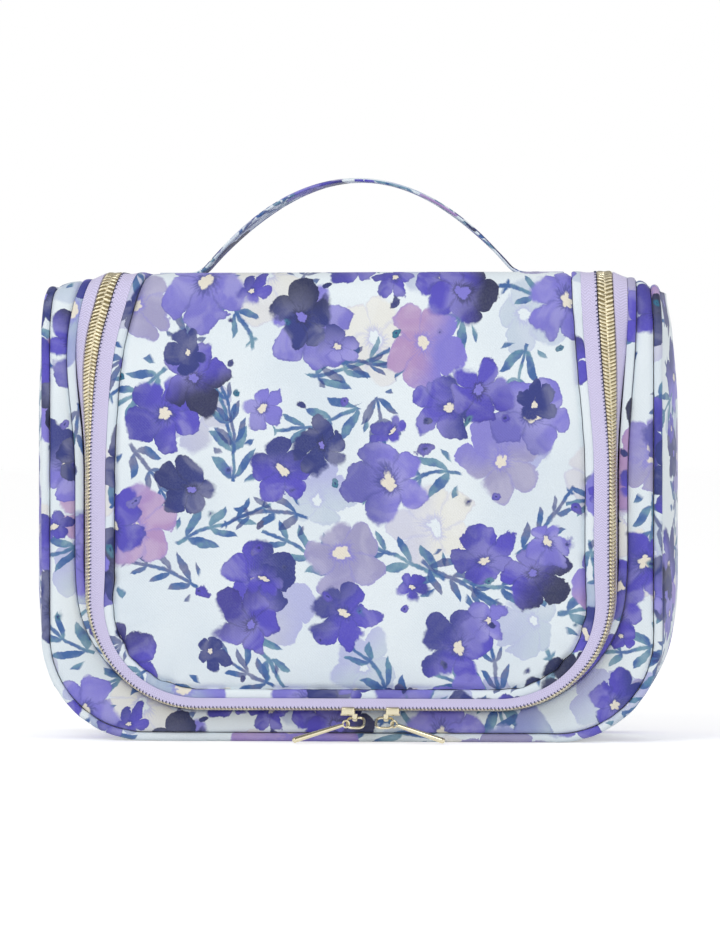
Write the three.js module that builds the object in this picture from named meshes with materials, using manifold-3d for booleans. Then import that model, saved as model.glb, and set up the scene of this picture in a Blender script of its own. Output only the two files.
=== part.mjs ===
// Hanging toiletry bag: a padded cloth case that stands on its base. Its lid is one cloth folded
// over the top, zipped down both sides and along the bottom, and it opens upwards so that the
// whole bag hangs from the hook on the lid's free edge.
// Millimetres, +Z up, front face towards -Y, origin on the base under the middle of the body.

import * as THREE from 'three';
import { mergeVertices } from 'three/addons/utils/BufferGeometryUtils.js';
import Module from 'manifold-3d';

const wasm = await Module();
wasm.setup();

// Body of the bag
const bagWidth = 236;
const bagHeight = 175;
const bagDepth = 84;
const cornerRadius = 40;
const foldRadius = 10;
const topEdgeInset = 1.6;
const topEdgeDrop = 2.2;

// Layers of every wall, from the outside in
const clothThick = 1.2;
const foamThick = 2.4;
const liningThick = 0.8;
const clearance = 0.3;

// Piping round the front and back edges
const pipingRadius = 1.6;
const pipingStand = 0.3;

// Line of the zip, measured from the bag's edges to the middle of the chain
const zipTopInset = 25.2;
const zipSideInset = 18.7;
const zipBottomHeight = 12.8;
const zipCornerRadius = 43;
const zipNarrowingLength = 88;

// Zip chain and its tapes: 6 mm chain, two rows of coil
const rowWidth = 2.4;
const rowThick = 2.4;
const rowGap = 1.0;
const tapeThick = 0.8;
const bindingWidth = 3.6;
const bindingThick = 1.6;
const outerBindingWidth = 3.2;
const outerBindingThick = 1.5;

// The lid stands proud of the body lower down, so these sizes differ between top, side and bottom
const chainTurnDegrees = { top: 0, side: 68, bottom: 84 };
const chainLift = { top: 2.6, side: 4.2, bottom: 5.2 };
const lidLift = { top: 2.4, side: 6.0, bottom: 7.4 };
const tapeShow = { top: 5.2, side: 5.0, bottom: 3.0 };
const outerTapeDegrees = { top: 24, side: 84, bottom: 95 };
const outerTapeShow = { top: 5.0, side: 0.8, bottom: 0.9 };
const outerBindingStart = { top: 8.5, side: 2.3, bottom: -2.4 };
const outerBindingLift = { top: 0.8, side: 0.5, bottom: 0.0 };
const bottomTurnLength = 57.2;
const topTurnLength = 75;

// Carrying handle, a flat strap sewn to the top
const handleEdgeMargin = 0.5;
const handleRise = 34.5;
const handleWidth = 18;
const handleThick = 1.8;
const handleTabLength = 18;
const handleFootLift = 1.6;
const handleFootHalf = 1.2;
const handleSwingDegrees = 40;

// Sliders of the main zip, bails and pull bars
const sliderMeet = 8.5;
const sliderSpacing = 16.8;
const sliderLength = 5.8;
const sliderWall = 0.9;
const crownLength = 2.8;
const crownShift = 2.5;
const bailWire = 0.5;
const bailLength = 7.4;
const bailWidth = 6.6;
const bailShift = 2.95;
const bailCorner = 1.4;
const bailSlopeDegrees = 40;
const eyeRadius = 1.42;
const eyeWire = 0.38;
const eyeShift = 0.5;
const barLength = 20.5;
const barNeckRadius = 0.7;
const barTipRadius = 1.05;
const barDropDegrees = 16;
const barForwardDegrees = 20;

// Pockets inside
const pocketDepth = 5.0;
const netThick = 0.7;
const pocketWall = 3.0;
const hemHeight = 7;
const hemThick = 1.4;
const lidPocketSideMargin = 31.3;
const lidPocketLowMargin = 33.2;
const lidPocketTopMargin = 45;
const slipPocketSideMargin = 26;
const slipPocketLow = 12;
const slipPocketHeight = 72;

// Hook on its webbing loop inside the lid's free edge
const hookTabWidth = 22;
const hookTabHeight = 7;
const hookTabThick = 1.6;
const hookLoopWidth = 12;
const hookLoopLength = 14;
const hookLoopThick = 1.4;
const hookStandoff = 12.0;
const hookPivotLift = 3.2;
const ringWire = 1.0;
const ringHalfWidth = 7.5;
const ringHeight = 6;
const swivelRadius = 2.6;
const swivelLength = 6;
const hookWire = 1.5;
const hookBend = 9;
const hookShank = 16;
const hookTipLength = 7;

// Colours
const icyWhite = 0xdfeaf0;
const printBlue = 0x8f93d0;
const lilac = 0xcbc4ea;
const gold = 0xd2b36c;
const paleGold = 0xe2d2a4;
const liningGrey = 0xc9c6dc;
const foamWhite = 0xf0efe9;
const netGrey = 0xb9b6d2;
const webbingLilac = 0xb8b1dc;

// Values that follow from the sizes above
const quarterTurn = Math.PI / 2;
const frontY = -bagDepth / 2;
const backY = bagDepth / 2;
const halfWidth = bagWidth / 2;
const foldStart = bagHeight - foldRadius;
const topStart = foldStart + foldRadius * quarterTurn;
const topEnd = topStart + bagDepth - 2 * foldRadius;
const backStart = topEnd + foldRadius * quarterTurn;
const zipTopHalf = halfWidth - zipTopInset;
const zipSideHalf = halfWidth - zipSideInset;
const turnStart = zipBottomHeight + bottomTurnLength;
const turnEnd = bagHeight - topTurnLength;
const zipCornerX = zipSideHalf - zipCornerRadius;
const zipCornerV = zipBottomHeight + zipCornerRadius;
const rimCornerX = halfWidth - cornerRadius;
const rimInset = 2 * pipingRadius + clearance;
const wallDepth = clothThick + foamThick + liningThick + 2 * clearance;
const pipingInset = pipingRadius;
const pipingSink = pipingRadius - pipingStand;
const lidPocketHalf = zipSideHalf - lidPocketSideMargin;
const lidPocketLow = zipBottomHeight + lidPocketLowMargin;
const lidPocketHigh = bagHeight - lidPocketTopMargin;
const slipPocketHalf = halfWidth - slipPocketSideMargin;
const slipPocketHigh = slipPocketLow + slipPocketHeight;

const bag = new THREE.Group();

function radians(degrees) {
  return THREE.MathUtils.degToRad(degrees);
}

function point(x, y, z) {
  return new THREE.Vector3(x, y, z);
}

// Mesh making

function closedGeometry(points, triangles) {
  const geometry = new THREE.BufferGeometry();
  geometry.setAttribute('position', new THREE.Float32BufferAttribute(points.flatMap((p) => p.toArray()), 3));
  let volume = 0;
  for (let i = 0; i < triangles.length; i += 3) {
    const [a, b, c] = [points[triangles[i]], points[triangles[i + 1]], points[triangles[i + 2]]];
    volume += a.dot(b.clone().cross(c));
  }
  geometry.setIndex(volume < 0 ? triangles.slice().reverse() : triangles);
  return geometry;
}

// A solid through equal sections, each a convex ring of points
function loft(sections, isRing = false) {
  const count = sections[0].length;
  const triangles = [];
  const steps = isRing ? sections.length : sections.length - 1;
  for (let i = 0; i < steps; i += 1) {
    const here = i * count;
    const next = ((i + 1) % sections.length) * count;
    for (let j = 0; j < count; j += 1) {
      const k = (j + 1) % count;
      triangles.push(here + j, here + k, next + k, here + j, next + k, next + j);
    }
  }
  const last = (sections.length - 1) * count;
  for (let j = 1; !isRing && j < count - 1; j += 1) {
    triangles.push(0, j + 1, j, last, last + j, last + j + 1);
  }
  return closedGeometry(sections.flat(), triangles);
}

function solid(geometry) {
  const bare = new THREE.BufferGeometry();
  bare.setAttribute('position', geometry.getAttribute('position'));
  if (geometry.index) bare.setIndex(geometry.index);
  const merged = mergeVertices(bare);
  return new wasm.Manifold(new wasm.Mesh({
    numProp: 3,
    vertProperties: new Float32Array(merged.getAttribute('position').array),
    triVerts: new Uint32Array(merged.index.array),
  }));
}

function fromSolid(manifold) {
  const mesh = manifold.getMesh();
  const geometry = new THREE.BufferGeometry();
  geometry.setAttribute('position', new THREE.Float32BufferAttribute(mesh.vertProperties, 3));
  geometry.setIndex(Array.from(mesh.triVerts));
  return geometry;
}

function joined(...geometries) {
  return fromSolid(geometries.map(solid).reduce((whole, piece) => whole.add(piece)));
}

function add(name, geometry, colour, roughness = 0.8, metalness = 0, parent = bag) {
  const material = new THREE.MeshStandardMaterial({ color: colour, roughness, metalness });
  const mesh = new THREE.Mesh(geometry, material);
  mesh.name = name;
  parent.add(mesh);
  return mesh;
}

function block(low, high) {
  const size = high.clone().sub(low);
  const centre = low.clone().add(high).multiplyScalar(0.5);
  return new THREE.BoxGeometry(size.x, size.y, size.z).translate(centre.x, centre.y, centre.z);
}

// Cloth coordinates: x across, v along the surface from the base up the front, over the top and
// down the back, n out of the surface
function wrap(x, v, n) {
  const radius = foldRadius + n;
  const foldZ = bagHeight - foldRadius;
  if (v <= foldStart) return point(x, frontY - n, v);
  if (v <= topStart) {
    const angle = (v - foldStart) / foldRadius;
    return point(x, frontY + foldRadius - radius * Math.cos(angle), foldZ + radius * Math.sin(angle));
  }
  if (v <= topEnd) return point(x, frontY + foldRadius + v - topStart, bagHeight + n);
  if (v <= backStart) {
    const angle = (v - topEnd) / foldRadius;
    return point(x, backY - foldRadius + radius * Math.sin(angle), foldZ + radius * Math.cos(angle));
  }
  return point(x, backY + n, foldZ - (v - backStart));
}

function smooth(value, from, to) {
  return THREE.MathUtils.smoothstep(value, from, to);
}

// A size that changes from the bottom of the zip to its side and its top
function along(size, v) {
  const rise = smooth(v, turnEnd, bagHeight);
  const fall = 1 - smooth(v, zipBottomHeight, turnStart);
  return size.side + (size.top - size.side) * rise + (size.bottom - size.side) * fall;
}

function sideHalf(v) {
  const share = THREE.MathUtils.clamp((bagHeight - v) / zipNarrowingLength, 0, 1);
  return zipTopHalf + (zipSideHalf - zipTopHalf) * (1 - Math.cos(Math.PI * share)) / 2;
}

// Stations of the right half of the zip line, from the bottom to the rear end
const cornerSteps = 8;
const sideSteps = 9;
const foldSteps = 4;

function zipStations() {
  const stations = [];
  for (let i = 0; i <= cornerSteps; i += 1) {
    const angle = quarterTurn * (i / cornerSteps - 1);
    stations.push({
      x: zipCornerX + zipCornerRadius * Math.cos(angle),
      v: zipCornerV + zipCornerRadius * Math.sin(angle),
      bx: Math.cos(angle),
      bv: Math.sin(angle),
      rimX: rimCornerX + cornerRadius * Math.cos(angle),
      rimV: cornerRadius + cornerRadius * Math.sin(angle),
    });
  }
  for (let i = 1; i <= sideSteps; i += 1) {
    const share = i / sideSteps;
    stations.push({
      x: sideHalf(THREE.MathUtils.lerp(zipCornerV, foldStart, share)),
      v: THREE.MathUtils.lerp(zipCornerV, foldStart, share),
      bx: 1,
      bv: 0,
      rimX: halfWidth,
      rimV: THREE.MathUtils.lerp(cornerRadius, foldStart, share),
    });
  }
  const upper = [];
  for (let i = 1; i <= foldSteps; i += 1) upper.push(THREE.MathUtils.lerp(foldStart, topStart, i / foldSteps));
  upper.push((topStart + topEnd) / 2, topEnd);
  for (const v of upper) stations.push({ x: sideHalf(v), v, bx: 1, bv: 0, rimX: halfWidth, rimV: v });
  return stations;
}

const stations = zipStations();

// A point of the zip's cross-section: b runs outwards from the chain, n out of the surface
function across(station, b, n) {
  return wrap(station.x + b * station.bx, station.v + b * station.bv, n);
}

// A point measured inwards from the outer edge of the body
function onRim(station, inset, n) {
  const rearward = smooth(station.rimV, topEnd, backStart);
  const share = smooth(station.rimV, foldStart - foldRadius, topStart) * (1 - rearward);
  const x = station.rimX - inset * station.bx - topEdgeInset * share;
  return wrap(x, station.rimV - inset * station.bv, n - topEdgeDrop * share);
}

function mirrored(section) {
  return section.map((p) => point(-p.x, p.y, p.z));
}

// A strip that runs down one side, round the bottom and up the other side
function aroundZip(chosen, section) {
  const right = chosen.map(section);
  const left = right.map(mirrored).reverse();
  return loft([...left, ...right]);
}

// The same strip on one side only
function besideZip(chosen, section, side) {
  const right = chosen.map(section);
  return loft(side > 0 ? right : right.map(mirrored));
}

// Cross-sections of the zip, as (b, n) corners

function chainAxis(station) {
  const turn = radians(along(chainTurnDegrees, station.v));
  return { b: -Math.cos(turn), n: Math.sin(turn), lift: along(chainLift, station.v) };
}

function rowSection(station, side) {
  const axis = chainAxis(station);
  const corner = (distance, rise) => across(
    station,
    side * distance * axis.b + rise * axis.n,
    axis.lift + side * distance * axis.n - rise * axis.b,
  );
  const near = rowGap / 2;
  const far = near + rowWidth;
  const half = rowThick / 2;
  return [corner(near, -half), corner(near, half), corner(far, half), corner(far, -half)];
}

function tapeEnds(station) {
  const axis = chainAxis(station);
  const reach = rowGap / 2 + rowWidth + clearance;
  const start = { b: reach * axis.b, n: axis.lift + (reach + tapeThick / 2 + clearance) * axis.n };
  const end = { b: start.b - along(tapeShow, station.v), n: along(lidLift, station.v) + clearance };
  return { start, end };
}

function tapeSection(station) {
  const { start, end } = tapeEnds(station);
  const half = tapeThick / 2;
  return [
    across(station, start.b, start.n - half),
    across(station, start.b, start.n + half),
    across(station, end.b, end.n + half),
    across(station, end.b, end.n - half),
  ];
}

function roundedStrip(station, low, high, base, top) {
  const shoulder = (top - base) / 3;
  return [
    across(station, low, base),
    across(station, low, top - shoulder),
    across(station, low + shoulder, top),
    across(station, high - shoulder, top),
    across(station, high, top - shoulder),
    across(station, high, base),
  ];
}

function bindingSection(station) {
  const high = tapeEnds(station).end.b - clearance;
  const top = along(lidLift, station.v) + bindingThick / 2;
  return roundedStrip(station, high - bindingWidth, high, top - bindingThick, top);
}

function panelEdge(station) {
  return tapeEnds(station).end.b - bindingWidth - 2 * clearance;
}

function outerTapeSection(station) {
  const axis = chainAxis(station);
  const reach = rowGap / 2 + rowWidth + clearance;
  const angle = radians(along(outerTapeDegrees, station.v));
  const start = { b: -reach * axis.b, n: axis.lift - reach * axis.n };
  const length = along(outerTapeShow, station.v);
  const half = tapeThick / 2;
  const corner = (distance, rise) => across(
    station,
    start.b + distance * Math.cos(angle) + rise * Math.sin(angle),
    start.n - distance * Math.sin(angle) + rise * Math.cos(angle),
  );
  return [corner(0, -half), corner(0, half), corner(length, half), corner(length, -half)];
}

function outerBindingSection(station) {
  const low = along(outerBindingStart, station.v);
  const top = along(outerBindingLift, station.v);
  return roundedStrip(station, low, low + outerBindingWidth, top - outerBindingThick, top);
}

function borderSection(station) {
  const inner = along(outerBindingStart, station.v) + outerBindingWidth + clearance;
  return [
    across(station, inner, -clothThick),
    across(station, inner, 0),
    onRim(station, rimInset, 0),
    onRim(station, rimInset, -clothThick),
  ];
}

const pipingSides = 8;

function pipingSection(station) {
  const section = [];
  for (let i = 0; i < pipingSides; i += 1) {
    const angle = (i + 0.5) * 2 * Math.PI / pipingSides;
    section.push(onRim(
      station,
      pipingInset + pipingRadius * Math.cos(angle),
      -pipingSink + pipingRadius * Math.sin(angle),
    ));
  }
  return section;
}

// Panels that fill the space inside the zip line, row by row
function panelRows(chosen, inset, outer, thick) {
  return chosen.map((station) => {
    const edge = panelEdge(station) - inset;
    const top = along(lidLift, station.v) - outer;
    const high = across(station, edge, top);
    const low = across(station, edge, top - thick);
    return [point(-high.x, high.y, high.z), high, low, point(-low.x, low.y, low.z)];
  });
}

function withV(station, v) {
  return { ...station, v, rimV: v, x: sideHalf(v) };
}

const lastStation = stations[stations.length - 1];
const frontStations = stations.filter((s) => s.v < topStart - clearance).concat([withV(lastStation, topStart)]);
const flatStations = stations.filter((s) => s.v <= foldStart);
const topStations = [topStart + clearance, topEnd - clearance].map((v) => withV(lastStation, v));

// Lid: front part, from the free edge up to the fold over the top

const foamOuter = clothThick + clearance;
const liningOuter = foamOuter + foamThick + clearance;

function addFrontLid() {
  add('front_panel', loft(panelRows(frontStations, 0, 0, clothThick)), icyWhite);
  add('lid_foam_board', loft(panelRows(flatStations, clearance, foamOuter, foamThick)), foamWhite);
  add('lid_lining', loft(panelRows(flatStations, clearance, liningOuter, liningThick)), liningGrey);
  add('lid_binding', aroundZip(frontStations, bindingSection), printBlue);
  add('lid_zip_tape', aroundZip(frontStations, tapeSection), lilac, 0.7);
  add('lid_zip_teeth', aroundZip(frontStations, (s) => rowSection(s, 1)), gold, 0.35, 0.9);
}

// Lid: top part, between the front fold and the hinge along the rear edge

function addTopFlap() {
  const inner = [topStart + foldRadius / 2, topEnd - foldRadius / 2].map((v) => withV(lastStation, v));
  add('top_panel', loft(panelRows(topStations, 0, 0, clothThick)), icyWhite);
  add('top_foam_board', loft(panelRows(inner, clearance, foamOuter, foamThick)), foamWhite);
  add('top_lining', loft(panelRows(topStations, clearance, liningOuter, liningThick)), liningGrey);
  for (const [side, word] of [[-1, 'left'], [1, 'right']]) {
    add(`top_binding_${word}`, besideZip(topStations, bindingSection, side), printBlue);
    add(`top_zip_tape_${word}`, besideZip(topStations, tapeSection, side), lilac, 0.7);
    add(`top_zip_teeth_${word}`, besideZip(topStations, (s) => rowSection(s, 1), side), gold, 0.35, 0.9);
  }
}

// Body: zip half, border, piping, gusset, back and lining

function addBodyZip() {
  const bodyStations = [...stations.slice(0, -1), withV(lastStation, topEnd - clearance)];
  add('body_zip_teeth', aroundZip(bodyStations, (s) => rowSection(s, -1)), gold, 0.35, 0.9);
  add('body_zip_tape', aroundZip(bodyStations, outerTapeSection), lilac, 0.7);
  add('body_binding', aroundZip(bodyStations, outerBindingSection), printBlue);
  add('front_border', aroundZip(bodyStations, borderSection), icyWhite);
  const rolled = [];
  for (let i = 1; i <= foldSteps; i += 1) {
    rolled.push(withV(lastStation, THREE.MathUtils.lerp(topEnd, backStart, i / foldSteps)));
  }
  add('front_piping', aroundZip([...stations, ...rolled], pipingSection), printBlue);
}

const sideTop = bagHeight - topEdgeDrop - 2 * pipingRadius - clearance;
const sideSetback = 2 * pipingRadius + clearance;

// Line of the body seen from the front, inset by a depth, from the base's middle to the top right
function bodyOutline(inset, top) {
  const line = [point(0, 0, inset)];
  const steps = 10;
  for (let i = 0; i <= steps; i += 1) {
    const angle = quarterTurn * (i / steps - 1);
    const radius = cornerRadius - inset;
    line.push(point(rimCornerX + radius * Math.cos(angle), 0, cornerRadius + radius * Math.sin(angle)));
  }
  const roundStart = top - foldRadius;
  const roundShares = [0, 0.5, 0.8, 0.95, 1];
  for (const share of roundShares) line.push(point(halfWidth - inset, 0, roundStart + foldRadius * share));
  return line;
}

const setbackShare = 0.9;

function setbackAt(z, top, setback) {
  const share = THREE.MathUtils.clamp((z - (top - foldRadius)) / foldRadius, 0, 1);
  return setback + setbackShare * (foldRadius - setback / 2) * (1 - Math.sqrt(1 - share * share));
}

// A wall that runs up one side, under the bag and up the other side
function gussetWall(outer, thick, top, setback) {
  const outside = bodyOutline(outer, top);
  const inside = bodyOutline(outer + thick, top);
  const sections = outside.map((p, i) => {
    const low = frontY + setbackAt(p.z, top, setback);
    return [
      point(p.x, low, p.z),
      point(p.x, -low, p.z),
      point(inside[i].x, -low, inside[i].z),
      point(inside[i].x, low, inside[i].z),
    ];
  });
  const left = sections.slice(1).map(mirrored).reverse();
  return loft([...left, ...sections]);
}

// A plate behind the body's outline, inset by a margin, between two depths
function backPlate(margin, outer, thick, top) {
  const line = bodyOutline(margin, top + foldRadius).filter((p) => p.z <= top);
  line.push(point(halfWidth - margin, 0, top));
  return loft(line.slice(1).map((p) => [
    point(-p.x, outer, p.z),
    point(p.x, outer, p.z),
    point(p.x, outer - thick, p.z),
    point(-p.x, outer - thick, p.z),
  ]));
}

function backPanel() {
  const rows = [];
  const line = bodyOutline(rimInset, foldStart).filter((p) => p.z < foldStart - foldRadius);
  for (const p of line.slice(1)) rows.push({ half: p.x, v: backStart + foldStart - p.z });
  for (let i = foldSteps; i >= 0; i -= 1) {
    const share = i / foldSteps;
    const half = halfWidth - rimInset - topEdgeInset * (1 - share) - clearance;
    rows.push({ half, v: THREE.MathUtils.lerp(topEnd + clearance, backStart, share) });
  }
  return loft(rows.map(({ half, v }) => [
    wrap(-half, v, 0),
    wrap(half, v, 0),
    wrap(half, v, -clothThick),
    wrap(-half, v, -clothThick),
  ]));
}

function backPiping() {
  const line = bodyOutline(pipingInset, foldStart - clearance);
  const sections = line.map((p, i) => {
    const before = line[Math.max(i - 1, 0)];
    const after = line[Math.min(i + 1, line.length - 1)];
    const run = after.clone().sub(before).normalize();
    const out = i === 0 ? point(0, 0, -1) : point(run.z, 0, -run.x);
    const section = [];
    for (let k = 0; k < pipingSides; k += 1) {
      const angle = (k + 0.5) * 2 * Math.PI / pipingSides;
      section.push(p.clone()
        .addScaledVector(out, pipingRadius * Math.cos(angle))
        .add(point(0, backY - pipingSink + pipingRadius * Math.sin(angle), 0)));
    }
    return section;
  });
  const left = sections.slice(1).map(mirrored).reverse();
  return loft([...left, ...sections]);
}

function addBody() {
  const foamInset = clothThick + clearance;
  const liningInset = foamInset + foamThick + clearance;
  const liningTop = sideTop - foldRadius / 2;
  const foamTop = liningTop - foldRadius / 2;
  add('side_gusset', gussetWall(0, clothThick, sideTop, sideSetback), icyWhite);
  add('gusset_foam', gussetWall(foamInset, foamThick, foamTop, wallDepth), foamWhite);
  add('back_panel', backPanel(), icyWhite);
  add('back_foam_board', backPlate(wallDepth + clearance, backY - foamInset, foamThick, foamTop), foamWhite);
  add('back_piping', backPiping(), printBlue);
  add('body_lining', joined(
    gussetWall(liningInset, liningThick, liningTop, wallDepth - liningThick),
    backPlate(liningInset + liningThick / 2, backY - liningInset, liningThick, liningTop - foldRadius),
  ), liningGrey);
}

// Fabric tabs that cover the two rear ends of the zip, on the rolled rear edge
function addZipTabs() {
  const steps = 3;
  const low = -rowWidth - rowGap;
  const high = outerBindingStart.top;
  for (const [side, word] of [[-1, 'left'], [1, 'right']]) {
    const sections = [];
    for (let i = 0; i <= steps; i += 1) {
      const v = THREE.MathUtils.lerp(topEnd + clearance, topEnd + foldRadius, i / steps);
      const corner = (b, n) => wrap(side * (zipTopHalf + b), v, n);
      const top = clearance + clothThick;
      sections.push([corner(low, clearance), corner(low, top), corner(high, top), corner(high, clearance)]);
    }
    add(`zip_end_tab_${word}`, loft(sections), printBlue);
  }
}

// Handle: two sewn tabs and the strap between them

const handleSurface = bagHeight + lidLift.top;
const handlePivotZ = handleSurface + clearance + handleFootLift;
const handleTabEnd = zipTopHalf + panelEdge(lastStation) - handleEdgeMargin;
const handleSpan = 2 * (handleTabEnd - handleTabLength - clearance) - handleThick;
const archShares = [0, 0.02, 0.05, 0.1, 0.2, 0.3, 0.4, 0.5];

function archPoint(share) {
  const side = 2 * share - 1;
  return point(side * handleSpan / 2, 0, handlePivotZ + handleRise * (1 - side * side));
}

function addHandle() {
  for (const [side, word] of [[-1, 'left'], [1, 'right']]) {
    const inner = (handleSpan + handleThick) / 2 + clearance;
    const low = point(side > 0 ? inner : -inner - handleTabLength, -handleWidth / 2, handleSurface + clearance);
    const high = point(low.x + handleTabLength, handleWidth / 2, low.z + handleThick);
    add(`handle_tab_${word}`, block(low, high), icyWhite);
  }
  const slope = 1 / Math.tan(radians(handleSwingDegrees));
  const shares = [...archShares, ...archShares.slice(0, -1).map((share) => 1 - share).reverse()];
  const line = shares.map(archPoint);
  const sections = line.map((p, i) => {
    const before = line[Math.max(i - 1, 0)];
    const after = line[Math.min(i + 1, line.length - 1)];
    const run = after.clone().sub(before).normalize();
    const out = point(-run.z, 0, run.x).multiplyScalar(handleThick / 2);
    const rise = Math.max(p.z - handlePivotZ, 0);
    const half = Math.min(handleWidth / 2, handleFootHalf + rise * slope);
    const corner = (y, sign) => p.clone().addScaledVector(out, sign).add(point(0, y, 0));
    return [corner(-half, 1), corner(half, 1), corner(half, -1), corner(-half, -1)];
  });
  add('handle_strap', loft(sections), icyWhite);
}

// Main zip sliders: a folded plate round the lid's row of teeth, with a crown for the bail

function extrudedAlongX(shape, length, centreX) {
  const geometry = new THREE.ExtrudeGeometry(shape, { depth: length, bevelEnabled: false, curveSegments: 6 });
  geometry.translate(0, 0, -length / 2);
  geometry.applyMatrix4(new THREE.Matrix4().makeBasis(point(0, 1, 0), point(0, 0, 1), point(1, 0, 0)));
  return geometry.translate(centreX, 0, 0);
}

function shapeFrom(corners) {
  return new THREE.Shape(corners.map(([y, z]) => new THREE.Vector2(y, z)));
}

const bottomAxis = chainAxis(stations[0]);
const rowFrontN = tapeEnds(stations[0]).start.n + tapeThick / 2;
const rowUnderside = zipBottomHeight - rowThick / 2;
const slideFront = frontY - rowFrontN - clearance;
const slideRear = frontY - bottomAxis.lift;
const slideBase = rowUnderside - clearance;
const crownWidth = 2 * (bailWire + clearance + sliderWall);
const bailY = slideFront - sliderWall + crownWidth / 2;
const bailZ = slideBase - sliderWall - clearance - bailWire;

function sliderBody(centreX, side) {
  const plate = extrudedAlongX(shapeFrom([
    [slideRear, slideBase],
    [slideRear, slideBase - sliderWall],
    [slideFront - sliderWall, slideBase - sliderWall],
    [slideFront - sliderWall, zipBottomHeight + sliderWall],
    [slideFront, zipBottomHeight + sliderWall],
    [slideFront, slideBase],
  ]), sliderLength, centreX);
  const hole = bailWire + clearance;
  const outer = crownWidth / 2;
  const crownShape = shapeFrom([
    [bailY - outer, bailZ - hole - sliderWall],
    [bailY + outer, bailZ - hole - sliderWall],
    [bailY + outer, slideBase - sliderWall / 2],
    [bailY - outer, slideBase - sliderWall / 2],
  ]);
  crownShape.holes.push(new THREE.Path([
    new THREE.Vector2(bailY - hole, bailZ - hole),
    new THREE.Vector2(bailY - hole, bailZ + hole),
    new THREE.Vector2(bailY + hole, bailZ + hole),
    new THREE.Vector2(bailY + hole, bailZ - hole),
  ]));
  return joined(plate, extrudedAlongX(crownShape, crownLength, centreX - side * crownShift));
}

// A round wire along a closed line that lies in one plane with a given normal
function closedWire(line, radius, normal, sides = 6) {
  const sections = line.map((p, i) => {
    const before = line[(i + line.length - 1) % line.length];
    const after = line[(i + 1) % line.length];
    const out = after.clone().sub(before).normalize().cross(normal);
    const section = [];
    for (let k = 0; k < sides; k += 1) {
      const angle = 2 * Math.PI * k / sides;
      section.push(p.clone()
        .addScaledVector(out, radius * Math.cos(angle))
        .addScaledVector(normal, radius * Math.sin(angle)));
    }
    return section;
  });
  return loft(sections, true);
}

function roundedRectangle(length, width, corner, steps = 3) {
  const line = [];
  const centres = [[1, 1], [-1, 1], [-1, -1], [1, -1]];
  centres.forEach(([sx, sy], quadrant) => {
    for (let i = 0; i <= steps; i += 1) {
      const angle = quarterTurn * (quadrant + i / steps);
      line.push(new THREE.Vector2(
        sx * (length / 2 - corner) + corner * Math.cos(angle),
        sy * (width / 2 - corner) + corner * Math.sin(angle),
      ));
    }
  });
  return line;
}

// The bail is a wire loop through the crown, sloping forwards and down
const bailSlope = radians(bailSlopeDegrees);
const bailDown = point(0, -Math.cos(bailSlope), -Math.sin(bailSlope));

function bail(centreX, side) {
  const centre = point(centreX - side * bailShift, bailY, bailZ)
    .addScaledVector(bailDown, bailWidth / 2 - bailWire);
  const line = roundedRectangle(bailLength - 2 * bailWire, bailWidth - 2 * bailWire, bailCorner)
    .map((q) => centre.clone().add(point(q.x, 0, 0)).addScaledVector(bailDown, q.y));
  return closedWire(line, bailWire, bailDown.clone().cross(point(1, 0, 0)));
}

// The bar hangs by its eye from the outer end of the bail and leans on the ground
function barDirection(side) {
  const drop = radians(barDropDegrees);
  const forward = radians(barForwardDegrees);
  return point(side * Math.cos(forward) * Math.cos(drop), -Math.sin(forward) * Math.cos(drop), -Math.sin(drop));
}

function eyeCentre(centreX, side) {
  const endX = centreX - side * bailShift + side * (bailLength / 2 - bailWire);
  return point(endX, bailY, bailZ)
    .addScaledVector(bailDown, bailWidth / 2 - bailWire + eyeShift)
    .addScaledVector(barDirection(side), eyeRadius - eyeWire - bailWire - clearance / 3);
}

function pullBar(centreX, side) {
  const run = barDirection(side);
  const centre = eyeCentre(centreX, side);
  const up = point(0, 0, 1);
  const normal = run.clone().cross(up).normalize();
  const rise = normal.clone().cross(run).normalize();
  const steps = 14;
  const line = [];
  for (let i = 0; i < steps; i += 1) {
    const angle = 2 * Math.PI * i / steps;
    line.push(centre.clone()
      .addScaledVector(run, eyeRadius * Math.cos(angle))
      .addScaledVector(rise, eyeRadius * Math.sin(angle)));
  }
  const eye = closedWire(line, eyeWire, normal);
  const tipShares = [[0, 0], [0, 0.8], [0.05, 1], [0.97, 1], [1, 0.7], [1, 0]];
  const profile = tipShares.map(([share, fullness]) => new THREE.Vector2(
    fullness * THREE.MathUtils.lerp(barNeckRadius, barTipRadius, share),
    eyeRadius + share * barLength,
  ));
  const bar = new THREE.LatheGeometry(profile, 8);
  bar.applyQuaternion(new THREE.Quaternion().setFromUnitVectors(point(0, 1, 0), run));
  bar.translate(centre.x, centre.y, centre.z);
  return joined(eye, bar);
}

function addSliders() {
  for (const [side, word] of [[-1, 'left'], [1, 'right']]) {
    const centreX = sliderMeet + side * sliderSpacing / 2;
    add(`slider_${word}`, sliderBody(centreX, side), paleGold, 0.3, 1);
    add(`slider_bail_${word}`, bail(centreX, side), paleGold, 0.3, 1);
    add(`pull_bar_${word}`, pullBar(centreX, side), paleGold, 0.25, 1);
  }
}

// Pockets: a net on the lid with its mouth towards the free edge, and a cloth one on the back wall

function pocket(low, high, wallY, depthSign, mouthUp) {
  const inner = wallY + depthSign * clearance;
  const face = wallY + depthSign * pocketDepth;
  const [nearY, farY] = [Math.min(inner, face), Math.max(inner, face)];
  const closedLow = mouthUp ? low.z : high.z - pocketWall;
  return joined(
    block(point(low.x, nearY, low.z), point(low.x + pocketWall, farY, high.z)),
    block(point(high.x - pocketWall, nearY, low.z), point(high.x, farY, high.z)),
    block(point(low.x, nearY, closedLow), point(high.x, farY, closedLow + pocketWall)),
  );
}

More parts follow.
